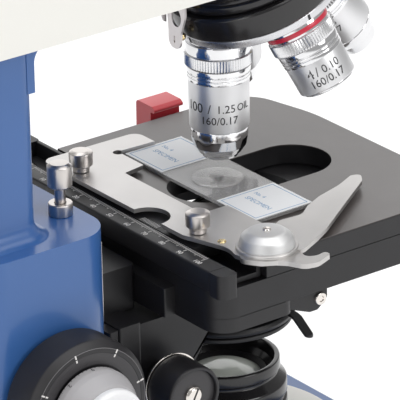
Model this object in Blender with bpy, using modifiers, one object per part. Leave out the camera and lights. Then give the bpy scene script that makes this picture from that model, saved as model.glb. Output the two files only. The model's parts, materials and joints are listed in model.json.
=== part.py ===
"""Upright binocular microscope with a mechanical stage, modelled as separate working pieces.

Row frame, in metres: +Z up, +X to the user's right, the user sits at -Y and the arm stands at +Y.
The origin is the middle of the outline, on the table.

Most pieces lie around the slide, so lengths below are written in millimetres in the stage frame: its origin
is the middle of the glass slide, on the stage's top surface. point() turns such a place into the row frame.
"""

import math

import bmesh
import bpy
from mathutils import Matrix, Vector

# ---------------------------------------------------------------- driving dimensions, millimetres
STAGE_HEIGHT = 150.0        # stage top above the table
STAGE_BACK_SHIFT = -15.3    # row-frame Y of the slide's middle
AXIS_Y = -1.4               # optical axis, in the stage frame
GAP = 0.3                   # clearance between neighbouring pieces

BASE_HALF_WIDTH = 72.0
BASE_FRONT, BASE_REAR = -48.4, 148.0
BASE_TOP, BASE_BOTTOM = -98.0, -143.0
FOOT_HEIGHT = 5.0

HOUSING_HALF_WIDTH = 38.5
HOUSING_FRONT, HOUSING_TOP = 70.5, 15.0
COLUMN_HALF_WIDTH = 28.0
COLUMN_FRONT = 95.3
ARM_HALF_WIDTH = 34.0
ARM_BOTTOM, ARM_TOP, ARM_FRONT = 83.3, 128.0, -56.0
CORE_HALF_WIDTH = 22.0      # the casting's hollow core, half across
CORE_FRONT, CORE_REAR = 104.0, 140.0
CORE_TOP = 78.0             # the column's core stops here, under the beam
BEAM_TOP = 122.0            # top of the blue beam, under the white cover
BEAM_CORE_FLOOR = 91.0      # the beam's trough is cut down to here
HOUSING_CORE_TOP = -50.0    # the housing's lower chamber stops here, under the focus bore
HOUSING_WALL = 4.5

FOCUS_Y, FOCUS_Z = 94.5, -38.5      # axis of the coaxial focus knobs
PINION_RADIUS = 6.0

TURRET_TILT = math.radians(20.0)    # nosepiece axis from the vertical
TURRET_REACH = 55.0                 # crossing point of the axes to an objective's shoulder
SHOULDER_Z = 55.5                   # shoulder of the working objective
TURRET_APEX = (0.0, AXIS_Y, SHOULDER_Z + TURRET_REACH)

CONDENSER_KNOB = (49.0, -48.5)      # y, z of the condenser's height knob
FINGER_PIVOT = (-60.3, 24.6)        # x, y of the slide finger's pivot
STAGE_DRIVE = (70.0, 36.0)          # x, y of the low coaxial stage knobs
FILTER_PIN = (18.0, -19.4)          # x, y of the filter holder's pin

HEAD_BORE = 18.0                    # light way up into the viewing head
HEAD_LIFT = 160.0                   # height at which the eyepiece line leaves the optical axis
CLAMP_HEIGHT = 131.8                # axis of the screw that locks the head
EYE_TILT = math.radians(60.0)       # eyepiece line from the vertical
WING_ARM = 36.0                     # hinge line to an eyepiece tube's middle
WING_DROOP = math.radians(25.0)     # how far the tubes are folded down at rest

MM = 0.001
WIDE, ROUND, SMALL = 36, 24, 16      # facets of wide, middling and small round pieces

PLACE = Matrix.Translation(Vector((0.0, STAGE_BACK_SHIFT, STAGE_HEIGHT)) * MM)

for old in list(bpy.data.objects):
    bpy.data.objects.remove(old)

parts = bpy.data.collections.new("microscope")
cutters = bpy.data.collections.new("cutters")
for group in (parts, cutters):
    bpy.context.scene.collection.children.link(group)


# ---------------------------------------------------------------- helpers
def point(x, y, z):
    """A place in the stage frame, millimetres, as a row-frame vector in metres."""
    return PLACE @ (Vector((x, y, z)) * MM)


def paint(name, colour, roughness, metallic=0.0):
    """A plain Principled material."""
    material = bpy.data.materials.new(name)
    material.use_nodes = True
    shader = material.node_tree.nodes["Principled BSDF"]
    shader.inputs["Base Color"].default_value = (*colour, 1.0)
    shader.inputs["Roughness"].default_value = roughness
    shader.inputs["Metallic"].default_value = metallic
    return material


BLUE = paint("blue_paint", (0.05, 0.14, 0.36), 0.35)
WHITE = paint("white_paint", (0.80, 0.80, 0.77), 0.4)
BLACK = paint("black_paint", (0.02, 0.02, 0.022), 0.45)
STAGE_BLACK = paint("stage_coating", (0.06, 0.055, 0.052), 0.35)
NICKEL = paint("nickel", (0.72, 0.69, 0.66), 0.25, 1.0)
STEEL = paint("steel", (0.62, 0.62, 0.62), 0.3, 1.0)
BRASS = paint("brass", (0.75, 0.6, 0.3), 0.3, 1.0)
KNOB_BLACK = paint("knob_plastic", (0.03, 0.03, 0.032), 0.5)
KNOB_GREY = paint("grey_plastic", (0.62, 0.62, 0.63), 0.45)
RUBBER = paint("rubber", (0.03, 0.03, 0.03), 0.8)
RED = paint("red_plastic", (0.65, 0.06, 0.08), 0.4)
GLASS = paint("glass", (0.85, 0.9, 0.88), 0.05)


def as_matrix(place):
    """The place of a piece: a stage-frame point, or a full matrix."""
    if isinstance(place, Matrix):
        return place
    return Matrix.Translation(point(*place))


def anchor(name, place):
    """An empty on a joint's axis, which the moving pieces hang from."""
    empty = bpy.data.objects.new(name, None)
    empty.empty_display_size = 0.01
    empty.location = as_matrix(place).translation
    parts.objects.link(empty)
    return empty


def finish(name, mesh, material, place=(0, 0, 0), parent=None):
    """Puts a mesh, in millimetres about its own origin, into the model."""
    mesh.transform(Matrix.Scale(MM, 4))
    mesh.materials.append(material)
    piece = bpy.data.objects.new(name, mesh)
    parts.objects.link(piece)
    if parent is not None:
        piece.parent = parent
        piece.matrix_parent_inverse = Matrix.Translation(parent.location).inverted()
    location, rotation, _ = as_matrix(place).decompose()
    piece.location = location
    piece.rotation_euler = rotation.to_euler()
    return piece


def round_edges(piece, width, segments=1, limit=40.0):
    """Rounds the piece's sharp edges."""
    bevel = piece.modifiers.new("rounded", "BEVEL")
    bevel.width = width * MM
    bevel.segments = segments
    bevel.limit_method = "ANGLE"
    bevel.angle_limit = math.radians(limit)
    return piece


def block_mesh(low, high):
    """A box between two corners."""
    bm = bmesh.new()
    size = [b - a for a, b in zip(low, high)]
    middle = [(a + b) / 2 for a, b in zip(low, high)]
    bmesh.ops.create_cube(bm, size=1.0, matrix=Matrix.Translation(middle) @ Matrix.Diagonal((*size, 1.0)))
    mesh = bpy.data.meshes.new("block")
    bm.to_mesh(mesh)
    bm.free()
    return mesh


def rod_mesh(radius, start, end, axis="Z", centre=(0, 0, 0), sides=ROUND):
    """A rod along an axis, from start to end on it."""
    bm = bmesh.new()
    turn = {
        "X": Matrix.Rotation(math.pi / 2, 4, "Y"),
        "Y": Matrix.Rotation(-math.pi / 2, 4, "X"),
        "Z": Matrix.Identity(4),
    }[axis]
    lift = Matrix.Translation((0, 0, (start + end) / 2))
    bmesh.ops.create_cone(
        bm, cap_ends=True, segments=sides, radius1=radius, radius2=radius, depth=end - start,
        matrix=Matrix.Translation(centre) @ turn @ lift)
    mesh = bpy.data.meshes.new("rod")
    bm.to_mesh(mesh)
    bm.free()
    return mesh


def turned_mesh(profile, steps=ROUND, closed=False):
    """A lathe shape: (radius, z) points, top to bottom on the outside, carried round by Screw."""
    mesh = bpy.data.meshes.new("profile")
    count = len(profile)
    edges = [(i, i + 1) for i in range(count - 1)]
    if closed:
        edges.append((count - 1, 0))
    mesh.from_pydata([(r, 0.0, z) for r, z in profile], edges, [])
    lathe = bpy.data.objects.new("lathe", mesh)
    cutters.objects.link(lathe)
    screw = lathe.modifiers.new("turn", "SCREW")
    screw.angle = 2 * math.pi
    screw.steps = steps
    screw.render_steps = steps
    screw.use_merge_vertices = True
    screw.merge_threshold = 0.0001
    return baked(lathe)


def ring_mesh(outer, inner, low, high, steps=ROUND):
    """A plain ring."""
    return turned_mesh([(outer, high), (outer, low), (inner, low), (inner, high)], steps, closed=True)


def baked(source):
    """The evaluated mesh of a helper object, which is then removed."""
    bpy.context.view_layer.update()
    graph = bpy.context.evaluated_depsgraph_get()
    mesh = bpy.data.meshes.new_from_object(source.evaluated_get(graph))
    bm = bmesh.new()
    bm.from_mesh(mesh)
    bmesh.ops.remove_doubles(bm, verts=bm.verts, dist=0.0001)
    bm.to_mesh(mesh)
    bm.free()
    bpy.data.objects.remove(source)
    return mesh


def outline_mesh(corners, low, high, plane="XY"):
    """A flat outline with rounded corners, extruded from low to high across its plane.

    Each corner is (a, b) or (a, b, radius). Planes: XY rises along Z, YZ runs along X.
    """
    curve = bpy.data.curves.new("outline", "CURVE")
    curve.dimensions = "2D"
    curve.fill_mode = "BOTH"
    curve.extrude = (high - low) / 2
    points = []
    count = len(corners)
    for i, corner in enumerate(corners):
        here = Vector(corner[:2])
        radius = corner[2] if len(corner) > 2 else 0.0
        if radius <= 0:
            points.append(here)
            continue
        before = (Vector(corners[i - 1][:2]) - here).normalized()
        after = (Vector(corners[(i + 1) % count][:2]) - here).normalized()
        half = before.angle(after) / 2
        reach = radius / math.tan(half)
        middle = here + (before + after).normalized() * radius / math.sin(half)
        first = (here + before * reach - middle)
        last = (here + after * reach - middle)
        sweep = first.angle(last)
        side = 1 if first.x * last.y - first.y * last.x > 0 else -1
        pieces = max(2, round(sweep / math.radians(20)))
        for k in range(pieces + 1):
            turn = Matrix.Rotation(side * sweep * k / pieces, 2)
            points.append(middle + turn @ first)
    spline = curve.splines.new("POLY")
    spline.points.add(len(points) - 1)
    for slot, place in zip(spline.points, points):
        slot.co = (place.x, place.y, 0.0, 1.0)
    spline.use_cyclic_u = True
    drawn = bpy.data.objects.new("outline", curve)
    cutters.objects.link(drawn)
    mesh = baked(drawn)
    mesh.transform(Matrix.Translation((0, 0, (low + high) / 2)))
    if plane == "YZ":
        mesh.transform(Matrix(((0, 0, 1, 0), (1, 0, 0, 0), (0, 1, 0, 0), (0, 0, 0, 1))))
    return mesh


def rounded_box(low, high, radius, corners=(1, 1, 1, 1)):
    """A box whose upright edges are rounded; corners says which, anticlockwise from low x, low y."""
    (x0, y0, z0), (x1, y1, z1) = low, high
    places = [(x0, y0), (x1, y0), (x1, y1), (x0, y1)]
    return outline_mesh([(*p, radius * c) for p, c in zip(places, corners)], z0, z1)


def arc(centre, radius, start, end, count):
    """Points on an arc, angles in degrees."""
    for k in range(count + 1):
        angle = math.radians(start + (end - start) * k / count)
        yield (centre[0] + radius * math.cos(angle), centre[1] + radius * math.sin(angle))


def change(piece, mesh, operation):
    """Joins or cuts a piece with a shape given in the piece's own frame, in millimetres."""
    mesh.transform(Matrix.Scale(MM, 4))
    tool = bpy.data.objects.new("tool_" + piece.name, mesh)
    tool.hide_render = True
    tool.display_type = "WIRE"
    cutters.objects.link(tool)
    bpy.context.view_layer.update()
    tool.matrix_world = piece.matrix_world
    boolean = piece.modifiers.new(operation.lower(), "BOOLEAN")
    boolean.operation = operation
    boolean.object = tool
    boolean.solver = "EXACT"
    return piece


def join(piece, *meshes):
    """Unions shapes to a piece."""
    for mesh in meshes:
        change(piece, mesh, "UNION")
    return piece


def cut(piece, *meshes):
    """Cuts shapes out of a piece."""
    for mesh in meshes:
        change(piece, mesh, "DIFFERENCE")
    return piece


def moved(mesh, offset=(0, 0, 0), turn=None):
    """A mesh turned, then moved."""
    if turn is not None:
        mesh.transform(turn)
    mesh.transform(Matrix.Translation(offset))
    return mesh


def smooth(piece):
    """Smooth shading with sharp edges kept."""
    piece.data.shade_smooth()
    piece.data.set_sharp_from_angle(angle=math.radians(35))
    return piece


# ---------------------------------------------------------------- base and lamp
def make_base():
    """Hollow base casting, its white round top panel, bottom plate, feet and electrics."""
    low = (-BASE_HALF_WIDTH, BASE_FRONT, BASE_BOTTOM)
    high = (BASE_HALF_WIDTH, BASE_REAR, BASE_TOP)
    base = finish("base_casting", rounded_box(low, high, 24), BLUE)
    round_edges(base, 3.0)
    wall = 5.0
    inner = rounded_box([v + wall for v in low[:2]] + [BASE_BOTTOM - 1],
                        [v - wall for v in high[:2]] + [BASE_TOP - wall], 19)
    cut(base, inner)
    cut(base, rod_mesh(16.0, BASE_TOP - 10, BASE_TOP + 5, centre=(0, AXIS_Y, 0)))
    cut(base, block_mesh((-26, BASE_REAR - 8, -131), (2, BASE_REAR + 1, -108)))
    cut(base, block_mesh((14, BASE_REAR - 8, -127), (30, BASE_REAR + 1, -112)))
    cut(base, rod_mesh(4.3, BASE_HALF_WIDTH - 8, BASE_HALF_WIDTH + 1, "X", (0, 8, -120)))

    panel = [(41.4, -95.9), (42, -96.5), (42, -97.7), (22.6, -97.7), (22.6, -95.9)]
    smooth(finish("base_top_panel", turned_mesh(panel, WIDE, closed=True), WHITE, (0, AXIS_Y, 0)))

    plate = rounded_box((-69, BASE_FRONT + 3, -144.9), (69, BASE_REAR - 3, -143.3), 21)
    finish("bottom_plate", plate, BLACK)
    names = {(-1, -1): "foot_front_left", (1, -1): "foot_front_right",
             (-1, 1): "foot_rear_left", (1, 1): "foot_rear_right"}
    for (side, end), name in names.items():
        foot = [(0, -145.2), (9, -145.2), (8, -STAGE_HEIGHT), (0, -STAGE_HEIGHT)]
        middle_y = (BASE_FRONT + BASE_REAR) / 2
        place = (side * 52, middle_y + end * 78, 0)
        smooth(finish(name, turned_mesh(foot, SMALL), RUBBER, place))

    inlet = finish("power_inlet", block_mesh((-25.6, BASE_REAR - 22, -130.6), (1.6, BASE_REAR + 0.8, -108.4)), BLACK)
    cut(inlet, block_mesh((-21, BASE_REAR - 14, -127), (-3, BASE_REAR + 2, -112)))


def make_lamp():
    """Collector housing with its field lens, and the lamp under it."""
    housing = [
        (19.7, -69.5), (19.7, -74.0), (18.9, -74.4), (18.9, -75.4), (22.2, -78.2), (22.2, -83.0),
        (21.2, -83.6), (21.2, -84.8), (22.2, -85.4), (22.2, -97.4),
        (12.5, -97.4), (12.5, -82.5), (15.4, -82.5), (15.4, -74.5), (17.2, -69.5),
    ]
    smooth(finish("collector_housing", turned_mesh(housing, WIDE, closed=True), BLACK, (0, AXIS_Y, 0)))
    dome = [(0, -75.2)] + [(14.9 * math.sin(a), -81.0 + 5.8 * math.cos(a)) for a in (0.35, 0.7, 1.05, 1.4)]
    dome += [(15.0, -82.1), (0, -82.1)]
    smooth(finish("field_lens", turned_mesh(dome, ROUND), GLASS, (0, AXIS_Y, 0)))
    lamp = [(0, -99.5), (6, -99.5), (6, -103.5), (14, -103.5), (14, -124), (20, -124), (20, -142.8), (0, -142.8)]
    smooth(finish("lamp_module", turned_mesh(lamp, SMALL), STEEL, (0, AXIS_Y, 0)))


def make_controls():
    """Brightness knob, power switch, the focus limit screw and its lock ring."""
    dimmer = anchor("dimmer_axis", (BASE_HALF_WIDTH, 8, -120))
    knob = [(0, 11), (9.0, 11), (10.5, 9.6), (10.8, 0.5), (3.6, 0.5), (3.6, -9), (0, -9)]
    knob = moved(turned_mesh(knob, ROUND), turn=Matrix.Rotation(math.pi / 2, 4, "Y"))
    smooth(finish("dimmer_knob", knob, KNOB_BLACK, (BASE_HALF_WIDTH, 8, -120), dimmer))

    rocker_at = (22, BASE_REAR - 3.0, -119.5)
    rocker = anchor("switch_axis", rocker_at)
    shape = [(-5.2, -4.5), (2.6, -6.6), (4.2, 0), (2.6, 6.6), (-5.2, 4.5)]
    finish("power_switch", outline_mesh(shape, -7, 7, "YZ"), KNOB_BLACK, rocker_at, rocker)

    screw_at = (-17, 77.8, HOUSING_TOP)
    screw = anchor("limit_screw_axis", screw_at)
    head = [(0, 18), (3.6, 18), (4.15, 17.4), (4.15, 8.8), (1.75, 8.4), (1.75, -12), (0, -12)]
    smooth(finish("limit_screw", turned_mesh(head, SMALL), NICKEL, screw_at, screw))
    lock = anchor("lock_ring_axis", screw_at)
    ring = [(4.2, 3.2), (4.2, 0.4), (2.1, 0.4), (2.1, 3.2)]
    smooth(finish("limit_lock_ring", turned_mesh(ring, SMALL, closed=True), NICKEL, screw_at, lock))


# ---------------------------------------------------------------- arm
def turret_matrix():
    """The nosepiece's own frame: Z up its tilted axis, origin where all objective axes cross."""
    return Matrix.Translation(point(*TURRET_APEX)) @ Matrix.Rotation(-TURRET_TILT, 4, "X")


def in_turret(mesh):
    """Moves a mesh, in millimetres, from the nosepiece's frame to the stage frame."""
    return moved(mesh, TURRET_APEX, Matrix.Rotation(-TURRET_TILT, 4, "X"))


def make_arm():
    """The blue arm casting with its focus housing, and the white cover over the beam."""
    front = COLUMN_FRONT
    beam_bottom, beam_front = ARM_BOTTOM + 1.7, ARM_FRONT + 8
    side = [(front, BASE_TOP + GAP), (front, beam_bottom, 6), (beam_front, beam_bottom, 4),
            (beam_front, BEAM_TOP, 4), (142, BEAM_TOP, 20), (146, BASE_TOP + GAP)]
    casting = finish("arm_casting", outline_mesh(side, -COLUMN_HALF_WIDTH, COLUMN_HALF_WIDTH, "YZ"), BLUE)
    round_edges(casting, 2.5, limit=50)
    housing = rounded_box((-HOUSING_HALF_WIDTH, HOUSING_FRONT, BASE_TOP + GAP),
                          (HOUSING_HALF_WIDTH, 124, HOUSING_TOP), 13)
    join(casting, housing)
    core = block_mesh((-CORE_HALF_WIDTH, CORE_FRONT, BASE_TOP - 2), (CORE_HALF_WIDTH, CORE_REAR, CORE_TOP))
    trough = block_mesh((-CORE_HALF_WIDTH, beam_front + 6, BEAM_CORE_FLOOR), (CORE_HALF_WIDTH, 128, BEAM_TOP + 2))
    chamber = block_mesh(
        (-HOUSING_HALF_WIDTH + HOUSING_WALL, HOUSING_FRONT + HOUSING_WALL, BASE_TOP - 2),
        (HOUSING_HALF_WIDTH - HOUSING_WALL, 124 - HOUSING_WALL, HOUSING_CORE_TOP))
    cut(casting, core)
    cut(casting, trough)
    cut(casting, chamber)
    cut(casting, rod_mesh(7.0, -60, 60, "X", (0, FOCUS_Y, FOCUS_Z)))
    cut(casting, block_mesh((-8, HOUSING_FRONT - 5, -82), (8, FOCUS_Y - 3, -10)))
    cut(casting, rod_mesh(2.1, 0, 30, centre=(-17, 77.8, 0), sides=SMALL))
    cut(casting, rod_mesh(13.0, 70, 140, centre=(0, AXIS_Y, 0)))
    cut(casting, in_turret(rod_mesh(28.7, -60, -15.7)), in_turret(rod_mesh(33.0, -60, -36.0)))

    roof = [(ARM_FRONT, ARM_BOTTOM, 6), (ARM_FRONT, ARM_TOP, 14), (149, ARM_TOP, 26), (149, ARM_BOTTOM, 3)]
    cover = finish("arm_cover", outline_mesh(roof, -ARM_HALF_WIDTH, ARM_HALF_WIDTH, "YZ"), WHITE)
    round_edges(cover, 3.0, limit=50)
    room = [(ARM_FRONT + 4.5, ARM_BOTTOM - 9), (ARM_FRONT + 4.5, 123.5, 8), (144.5, 123.5, 22),
            (146.6, ARM_BOTTOM - 9)]
    cut(cover, outline_mesh(room, -ARM_HALF_WIDTH + 4.5, ARM_HALF_WIDTH - 4.5, "YZ"))
    join(cover, rod_mesh(30.0, ARM_TOP - 3, 136.0, centre=(0, AXIS_Y, 0), sides=ROUND))
    cut(cover, rod_mesh(24.4, 128.4, 140, centre=(0, AXIS_Y, 0), sides=ROUND))
    cut(cover, rod_mesh(14.0, 110, 140, centre=(0, AXIS_Y, 0)))
    cut(cover, rod_mesh(2.4, 20, 40, "X", (0, AXIS_Y, CLAMP_HEIGHT), sides=SMALL))
    cut(cover, in_turret(rod_mesh(33.0, -60, -16.0)))

    clamp_at = (30, AXIS_Y, CLAMP_HEIGHT)
    clamp = anchor("head_clamp_axis", clamp_at)
    body = [(0, 14), (4.7, 14), (5.2, 13.4), (5.2, 5.2), (3.2, 5.0), (3.2, 0.4), (2.0, 0.4), (2.0, -5.0), (0, -5.0)]
    body = moved(turned_mesh(body, SMALL), turn=Matrix.Rotation(math.pi / 2, 4, "Y"))
    smooth(finish("head_clamp_screw", body, NICKEL, clamp_at, clamp))


# ---------------------------------------------------------------- focus drive
def make_focus():
    """Coaxial coarse and fine knobs with their shafts, tension collar, slide, rack and guide."""
    guide = finish("guide_dovetail", block_mesh((-24, 66.4, -86), (24, HOUSING_FRONT - GAP, 4)), STEEL)
    cut(guide, block_mesh((-8, 60, -82), (8, 80, -9)))

    lies_along_x = Matrix.Rotation(math.pi / 2, 4, "Y")
    axle = (0, FOCUS_Y, FOCUS_Z)
    coarse = anchor("coarse_axis", axle)
    fine = anchor("fine_axis", axle)
    smooth(finish("coarse_sleeve", moved(ring_mesh(PINION_RADIUS, 3.4, -50, 56, SMALL), turn=lies_along_x),
                  BRASS, axle, coarse))
    smooth(finish("fine_shaft", rod_mesh(3.0, -60, 66, "X", sides=SMALL), STEEL, axle, fine))

    face = HOUSING_HALF_WIDTH
    for name, side, inner in (("left", -1, face + 0.5), ("right", 1, face + 6.6)):
        turn = Matrix.Rotation(side * math.pi / 2, 4, "Y")
        drum = [(21.6, 16), (22.6, 15.8), (24.3, 14.4), (24.3, 1.2), (23.4, 0), (6.4, 0), (6.4, 15.4), (21.0, 15.4)]
        drum = moved(turned_mesh(drum, WIDE, closed=True), (side * inner, 0, 0), turn)
        smooth(finish("coarse_knob_" + name, drum, KNOB_BLACK, axle, coarse))
        cap = [(0, 14.0), (12.2, 14.0), (14.6, 12.6), (15.8, 9.5), (15.8, 0), (3.4, 0), (3.4, 7), (0, 7)]
        cap = moved(turned_mesh(cap, ROUND), (side * (inner + 16.3), 0, 0), turn)
        smooth(finish("fine_knob_" + name, cap, KNOB_GREY, axle, fine))

    collar = anchor("tension_axis", axle)
    ring = [(20.5, 5.6), (21.5, 4.8), (21.5, 0.8), (20.5, 0), (6.6, 0), (6.6, 5.6)]
    ring = moved(turned_mesh(ring, ROUND, closed=True), (face + 0.5, 0, 0), lies_along_x)
    smooth(finish("tension_collar", ring, KNOB_BLACK, axle, collar))

    focus = anchor("focus_axis", (0, 60, -40))
    slide = finish("focus_slide", block_mesh((-32, 56.5, -80), (32, 66.1, -9.4)), BLACK, parent=focus)
    for side in (-1, 1):
        lip = sorted((side * 24.4, side * 32))
        join(slide, block_mesh((lip[0], 66, -80), (lip[1], 70.0, -9.4)))
        cheek = [(57, -27.3), (23, -27.3, 3), (23, -33, 3), (36, -52, 10), (41, -72, 4), (57, -74)]
        wall = sorted((side * 16, side * 30))
        join(slide, outline_mesh(cheek, wall[0], wall[1], "YZ"))
    cut(slide, rod_mesh(3.4, -40, 0, "X", (0, *CONDENSER_KNOB), sides=SMALL))

    bar = block_mesh((-5, 66.5, -66), (5, FOCUS_Y - PINION_RADIUS - GAP, -20))
    finish("focus_rack", bar, BRASS, parent=focus)
    return focus


# ---------------------------------------------------------------- stage
def make_stage(focus):
    """Lower stage, sliding upper stage with its rear rail, and the low coaxial knobs."""
    lower = finish("stage_lower_plate", rounded_box((-61.5, -60, -19), (59, 46, -7.8), 12), BLACK, parent=focus)
    join(lower, rounded_box((-61.5, 10, -27), (59, 46, -18), 9, (0, 0, 1, 1)))
    join(lower, block_mesh((-37, 44, -19), (37, 50, -13.6)))
    join(lower, rounded_box((-60, -6, -30), (-50, 4, -18), 3))
    cut(lower, rod_mesh(29.0, -40, 0, centre=(0, AXIS_Y, 0), sides=WIDE))
    cut(lower, block_mesh((-15, 10, -40), (15, 60, -19.6)))
    cut(lower, rod_mesh(1.8, -62, -52, "X", (0, -1, -24.5), sides=SMALL))

    upper = anchor("stage_y_axis", (0, 0, 0))
    outline = [(-61.8, 26, 0), (-61.8, -58, 15), (-30, -64.5, 60), (30, -64.5, 60), (59.4, -58, 15), (59.4, 26, 0)]
    top = finish("stage_top_plate", outline_mesh(outline, -7.5, 0), STAGE_BLACK, parent=upper)
    slot = list(arc((-1.3, 5.2), 14.2, 0, 180, 12)) + list(arc((-1.3, -31.3), 14.2, 180, 360, 12))
    cut(top, outline_mesh(slot, -12, 5))

    rail = finish("x_rail", rounded_box((-66, 26.3, -7.5), (80, 48, 0), 4, (0, 1, 1, 1)), BLACK, parent=upper)
    round_edges(rail, 0.7, limit=60)
    cut(rail, block_mesh((-70, 28.4, -5.6), (69.5, 40.8, 5)))
    join(rail, rod_mesh(5.0, -50, -7, centre=(*STAGE_DRIVE, 0), sides=SMALL))
    join(rail, rod_mesh(2.4, -79, -49, centre=(*STAGE_DRIVE, 0), sides=SMALL))
    clip_side = [(59.8, -19), (73.5, -19, 1.5), (73.5, -32, 1.5), (59.8, -32)]
    clip = finish("side_clip", outline_mesh(clip_side, -9, 2.0), RED, parent=upper)
    cut(clip, block_mesh((50, -40, -12), (62.4, -10, 0.3)))
    cut(clip, block_mesh((64.4, -40, -12), (75, -10, -5)))
    round_edges(clip, 0.5)

    knobs = (("y_knob", -64.0, -50.4, 11.0), ("x_knob", -78.0, -64.4, 9.0))
    for name, low, high, radius in knobs:
        axis = anchor(name + "_axis", (*STAGE_DRIVE, low))
        profile = [(radius - 0.8, high), (radius, high - 0.8), (radius, low + 0.8), (radius - 0.8, low),
                   (2.8, low), (2.8, high)]
        profile = [(r, z - low) for r, z in profile]
        smooth(finish(name, turned_mesh(profile, ROUND, closed=True), KNOB_BLACK, (*STAGE_DRIVE, low), axis))
    return upper


def make_slide_holder():
    """The carriage, the nickel holder plate with its screws, the spring finger and the glass slide."""
    carriage = anchor("stage_x_axis", (0, 34.6, 0))
    finish("x_carriage", block_mesh((-40, 28.8, -5.2), (40, 40.4, -0.2)), BLACK, parent=carriage)

    pivot = Vector(FINGER_PIVOT)
    notch = list(arc((-14.2, 40.2), 7.6, 0, -180, 10))
    pad = list(arc(pivot, 11.0, 100, 330, 10))
    plate = [(48.6, 40.2, 2.0)] + notch + [(-40, 40.2, 6)] + pad
    plate += [(-45, 13.4, 2), (-23.5, 13.4), (-23.5, 24.4), (22.6, 24.4), (22.6, 13.4), (38.6, 13.4),
              (38.6, -0.5), (48.6, -0.5, 3)]
    holder = finish("slide_holder_plate", outline_mesh(plate, 0.3, 1.8), NICKEL, parent=carriage)
    for x in (32.4, -35.5):
        cut(holder, rod_mesh(1.9, -1, 3, centre=(x, 34.8, 0), sides=SMALL))

    finish("glass_slide", block_mesh((-38.1, -12.7, 0.2), (38.1, 12.7, 1.3)), GLASS, parent=carriage)
    for name, x in (("left", -35.5), ("right", 32.4)):
        head = [(0, 9.4), (3.8, 9.4), (4.25, 8.9), (4.25, 3.9), (3.0, 3.3), (3.0, 2.1), (1.6, 2.1), (1.6, 0.1), (0, 0.1)]
        turn = anchor(f"thumb_screw_{name}_axis", (x, 34.8, 0))
        smooth(finish("thumb_screw_" + name, turned_mesh(head, SMALL), NICKEL, (x, 34.8, 0), turn))

    finger = anchor("finger_axis", (*FINGER_PIVOT, 0))
    inner = [(-41.5, 9.5), (-39.6, 2), (-38.9, -6), (-38.9, -14), (-36.5, -24), (-30.5, -35.5)]
    outer = [(-33.5, -38.5), (-41, -32), (-46.6, -22), (-50.0, -10), (-51.8, 2), (-52.6, 9.0)]
    arm = [Vector(p) - pivot for p in inner + outer]
    blade = finish("slide_finger", outline_mesh(arm, 0.2, 3.4), NICKEL, (*FINGER_PIVOT, 0), finger)
    neck = [Vector(p) - pivot for p in [(-52, 20), (-44, 13), (-41.6, 9.7), (-39.9, 4), (-51.9, 4), (-58, 16)]]
    join(blade, outline_mesh(neck, 2.1, 3.4))
    dome = [(0, 9.6), (1.9, 9.6), (2.2, 8.4), (6.5, 7.8), (8.9, 6.2), (9.8, 4.0), (9.8, 2.1), (0, 2.1)]
    join(blade, turned_mesh(dome, ROUND))
    lever = [(-4, -4), (-16.5, -9.2), (-20.5, -12.6), (-18.6, -15.2), (-13.5, -13.6), (-3, -9.5), (4, -8.5)]
    join(blade, outline_mesh(lever, 2.1, 3.4))


# ---------------------------------------------------------------- condenser
def make_condenser():
    """Carrier on its dovetail, height knob, condenser with iris lever, and the swing-out filter holder."""
    lift = anchor("condenser_axis", (0, 48, -48))
    carrier = finish("condenser_carrier", block_mesh((-13.7, 40, -66), (13.7, 56.2, -34)), BLACK, parent=lift)
    join(carrier, rod_mesh(26.0, -45.6, -36.5, centre=(0, AXIS_Y, 0), sides=ROUND))
    join(carrier, block_mesh((-11, 18, -45.6), (11, 41, -36.5)))
    cut(carrier, rod_mesh(21.6, -60, -20, centre=(0, AXIS_Y, 0), sides=ROUND))

    body = [
        (0, -9.6), (11.2, -9.6), (12.2, -10.6), (12.2, -13), (16.5, -16), (21.1, -24), (21.1, -45.9),
        (23.5, -46.0), (23.5, -47.4), (17.4, -47.5), (17.4, -49.6), (24.6, -49.7), (24.6, -51.2), (22.0, -52.0),
        (15.0, -52.0), (15.0, -34.0), (0, -30.0),
    ]
    smooth(finish("condenser_body", turned_mesh(body, WIDE), BLACK, (0, AXIS_Y, 0), lift))
    lens = [(0, -8.3), (6.0, -8.5), (9.6, -9.3), (0, -9.3)]
    smooth(finish("condenser_lens", turned_mesh(lens, ROUND), GLASS, (0, AXIS_Y, 0), lift))

    iris = anchor("iris_axis", (0, AXIS_Y, 0))
    ring = ring_mesh(21.0, 17.8, -49.3, -47.8, ROUND)
    lever = smooth(finish("iris_lever", ring, BLACK, (0, AXIS_Y, 0), iris))
    blade = [(-14.6, -13.0), (-16.8, -10.2), (-27.2, -11.2), (-39.2, -6.8, 1.6), (-40.6, -10.2, 1.6), (-27.4, -15.6)]
    join(lever, moved(outline_mesh(blade, -49.3, -47.8), (0, -AXIS_Y, 0)))

    swing = anchor("filter_axis", (*FILTER_PIN, -53))
    holder = finish("filter_holder", ring_mesh(26.0, 16.0, -54.6, -52.4, WIDE), BLACK,
                    (0, AXIS_Y, 0), swing)
    join(holder, rod_mesh(4.0, -54.6, -52.4, centre=(FILTER_PIN[0], FILTER_PIN[1] - AXIS_Y, 0), sides=SMALL))

    knob_at = (-30, *CONDENSER_KNOB)
    turn = anchor("condenser_knob_axis", knob_at)
    knob = [(0, 20.4), (3.4, 20.4), (3.4, 19.6), (9.3, 19.6), (9.6, 20.8), (11.0, 20.0), (11.4, 19.0), (11.4, 8.6),
            (10.8, 8.0), (5.0, 8.0), (5.0, 0.6), (2.9, 0.6), (2.9, -12.0), (0, -12.0)]
    knob = moved(turned_mesh(knob, ROUND), turn=Matrix.Rotation(-math.pi / 2, 4, "Y"))
    smooth(finish("condenser_knob", knob, KNOB_BLACK, knob_at, turn))


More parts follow.
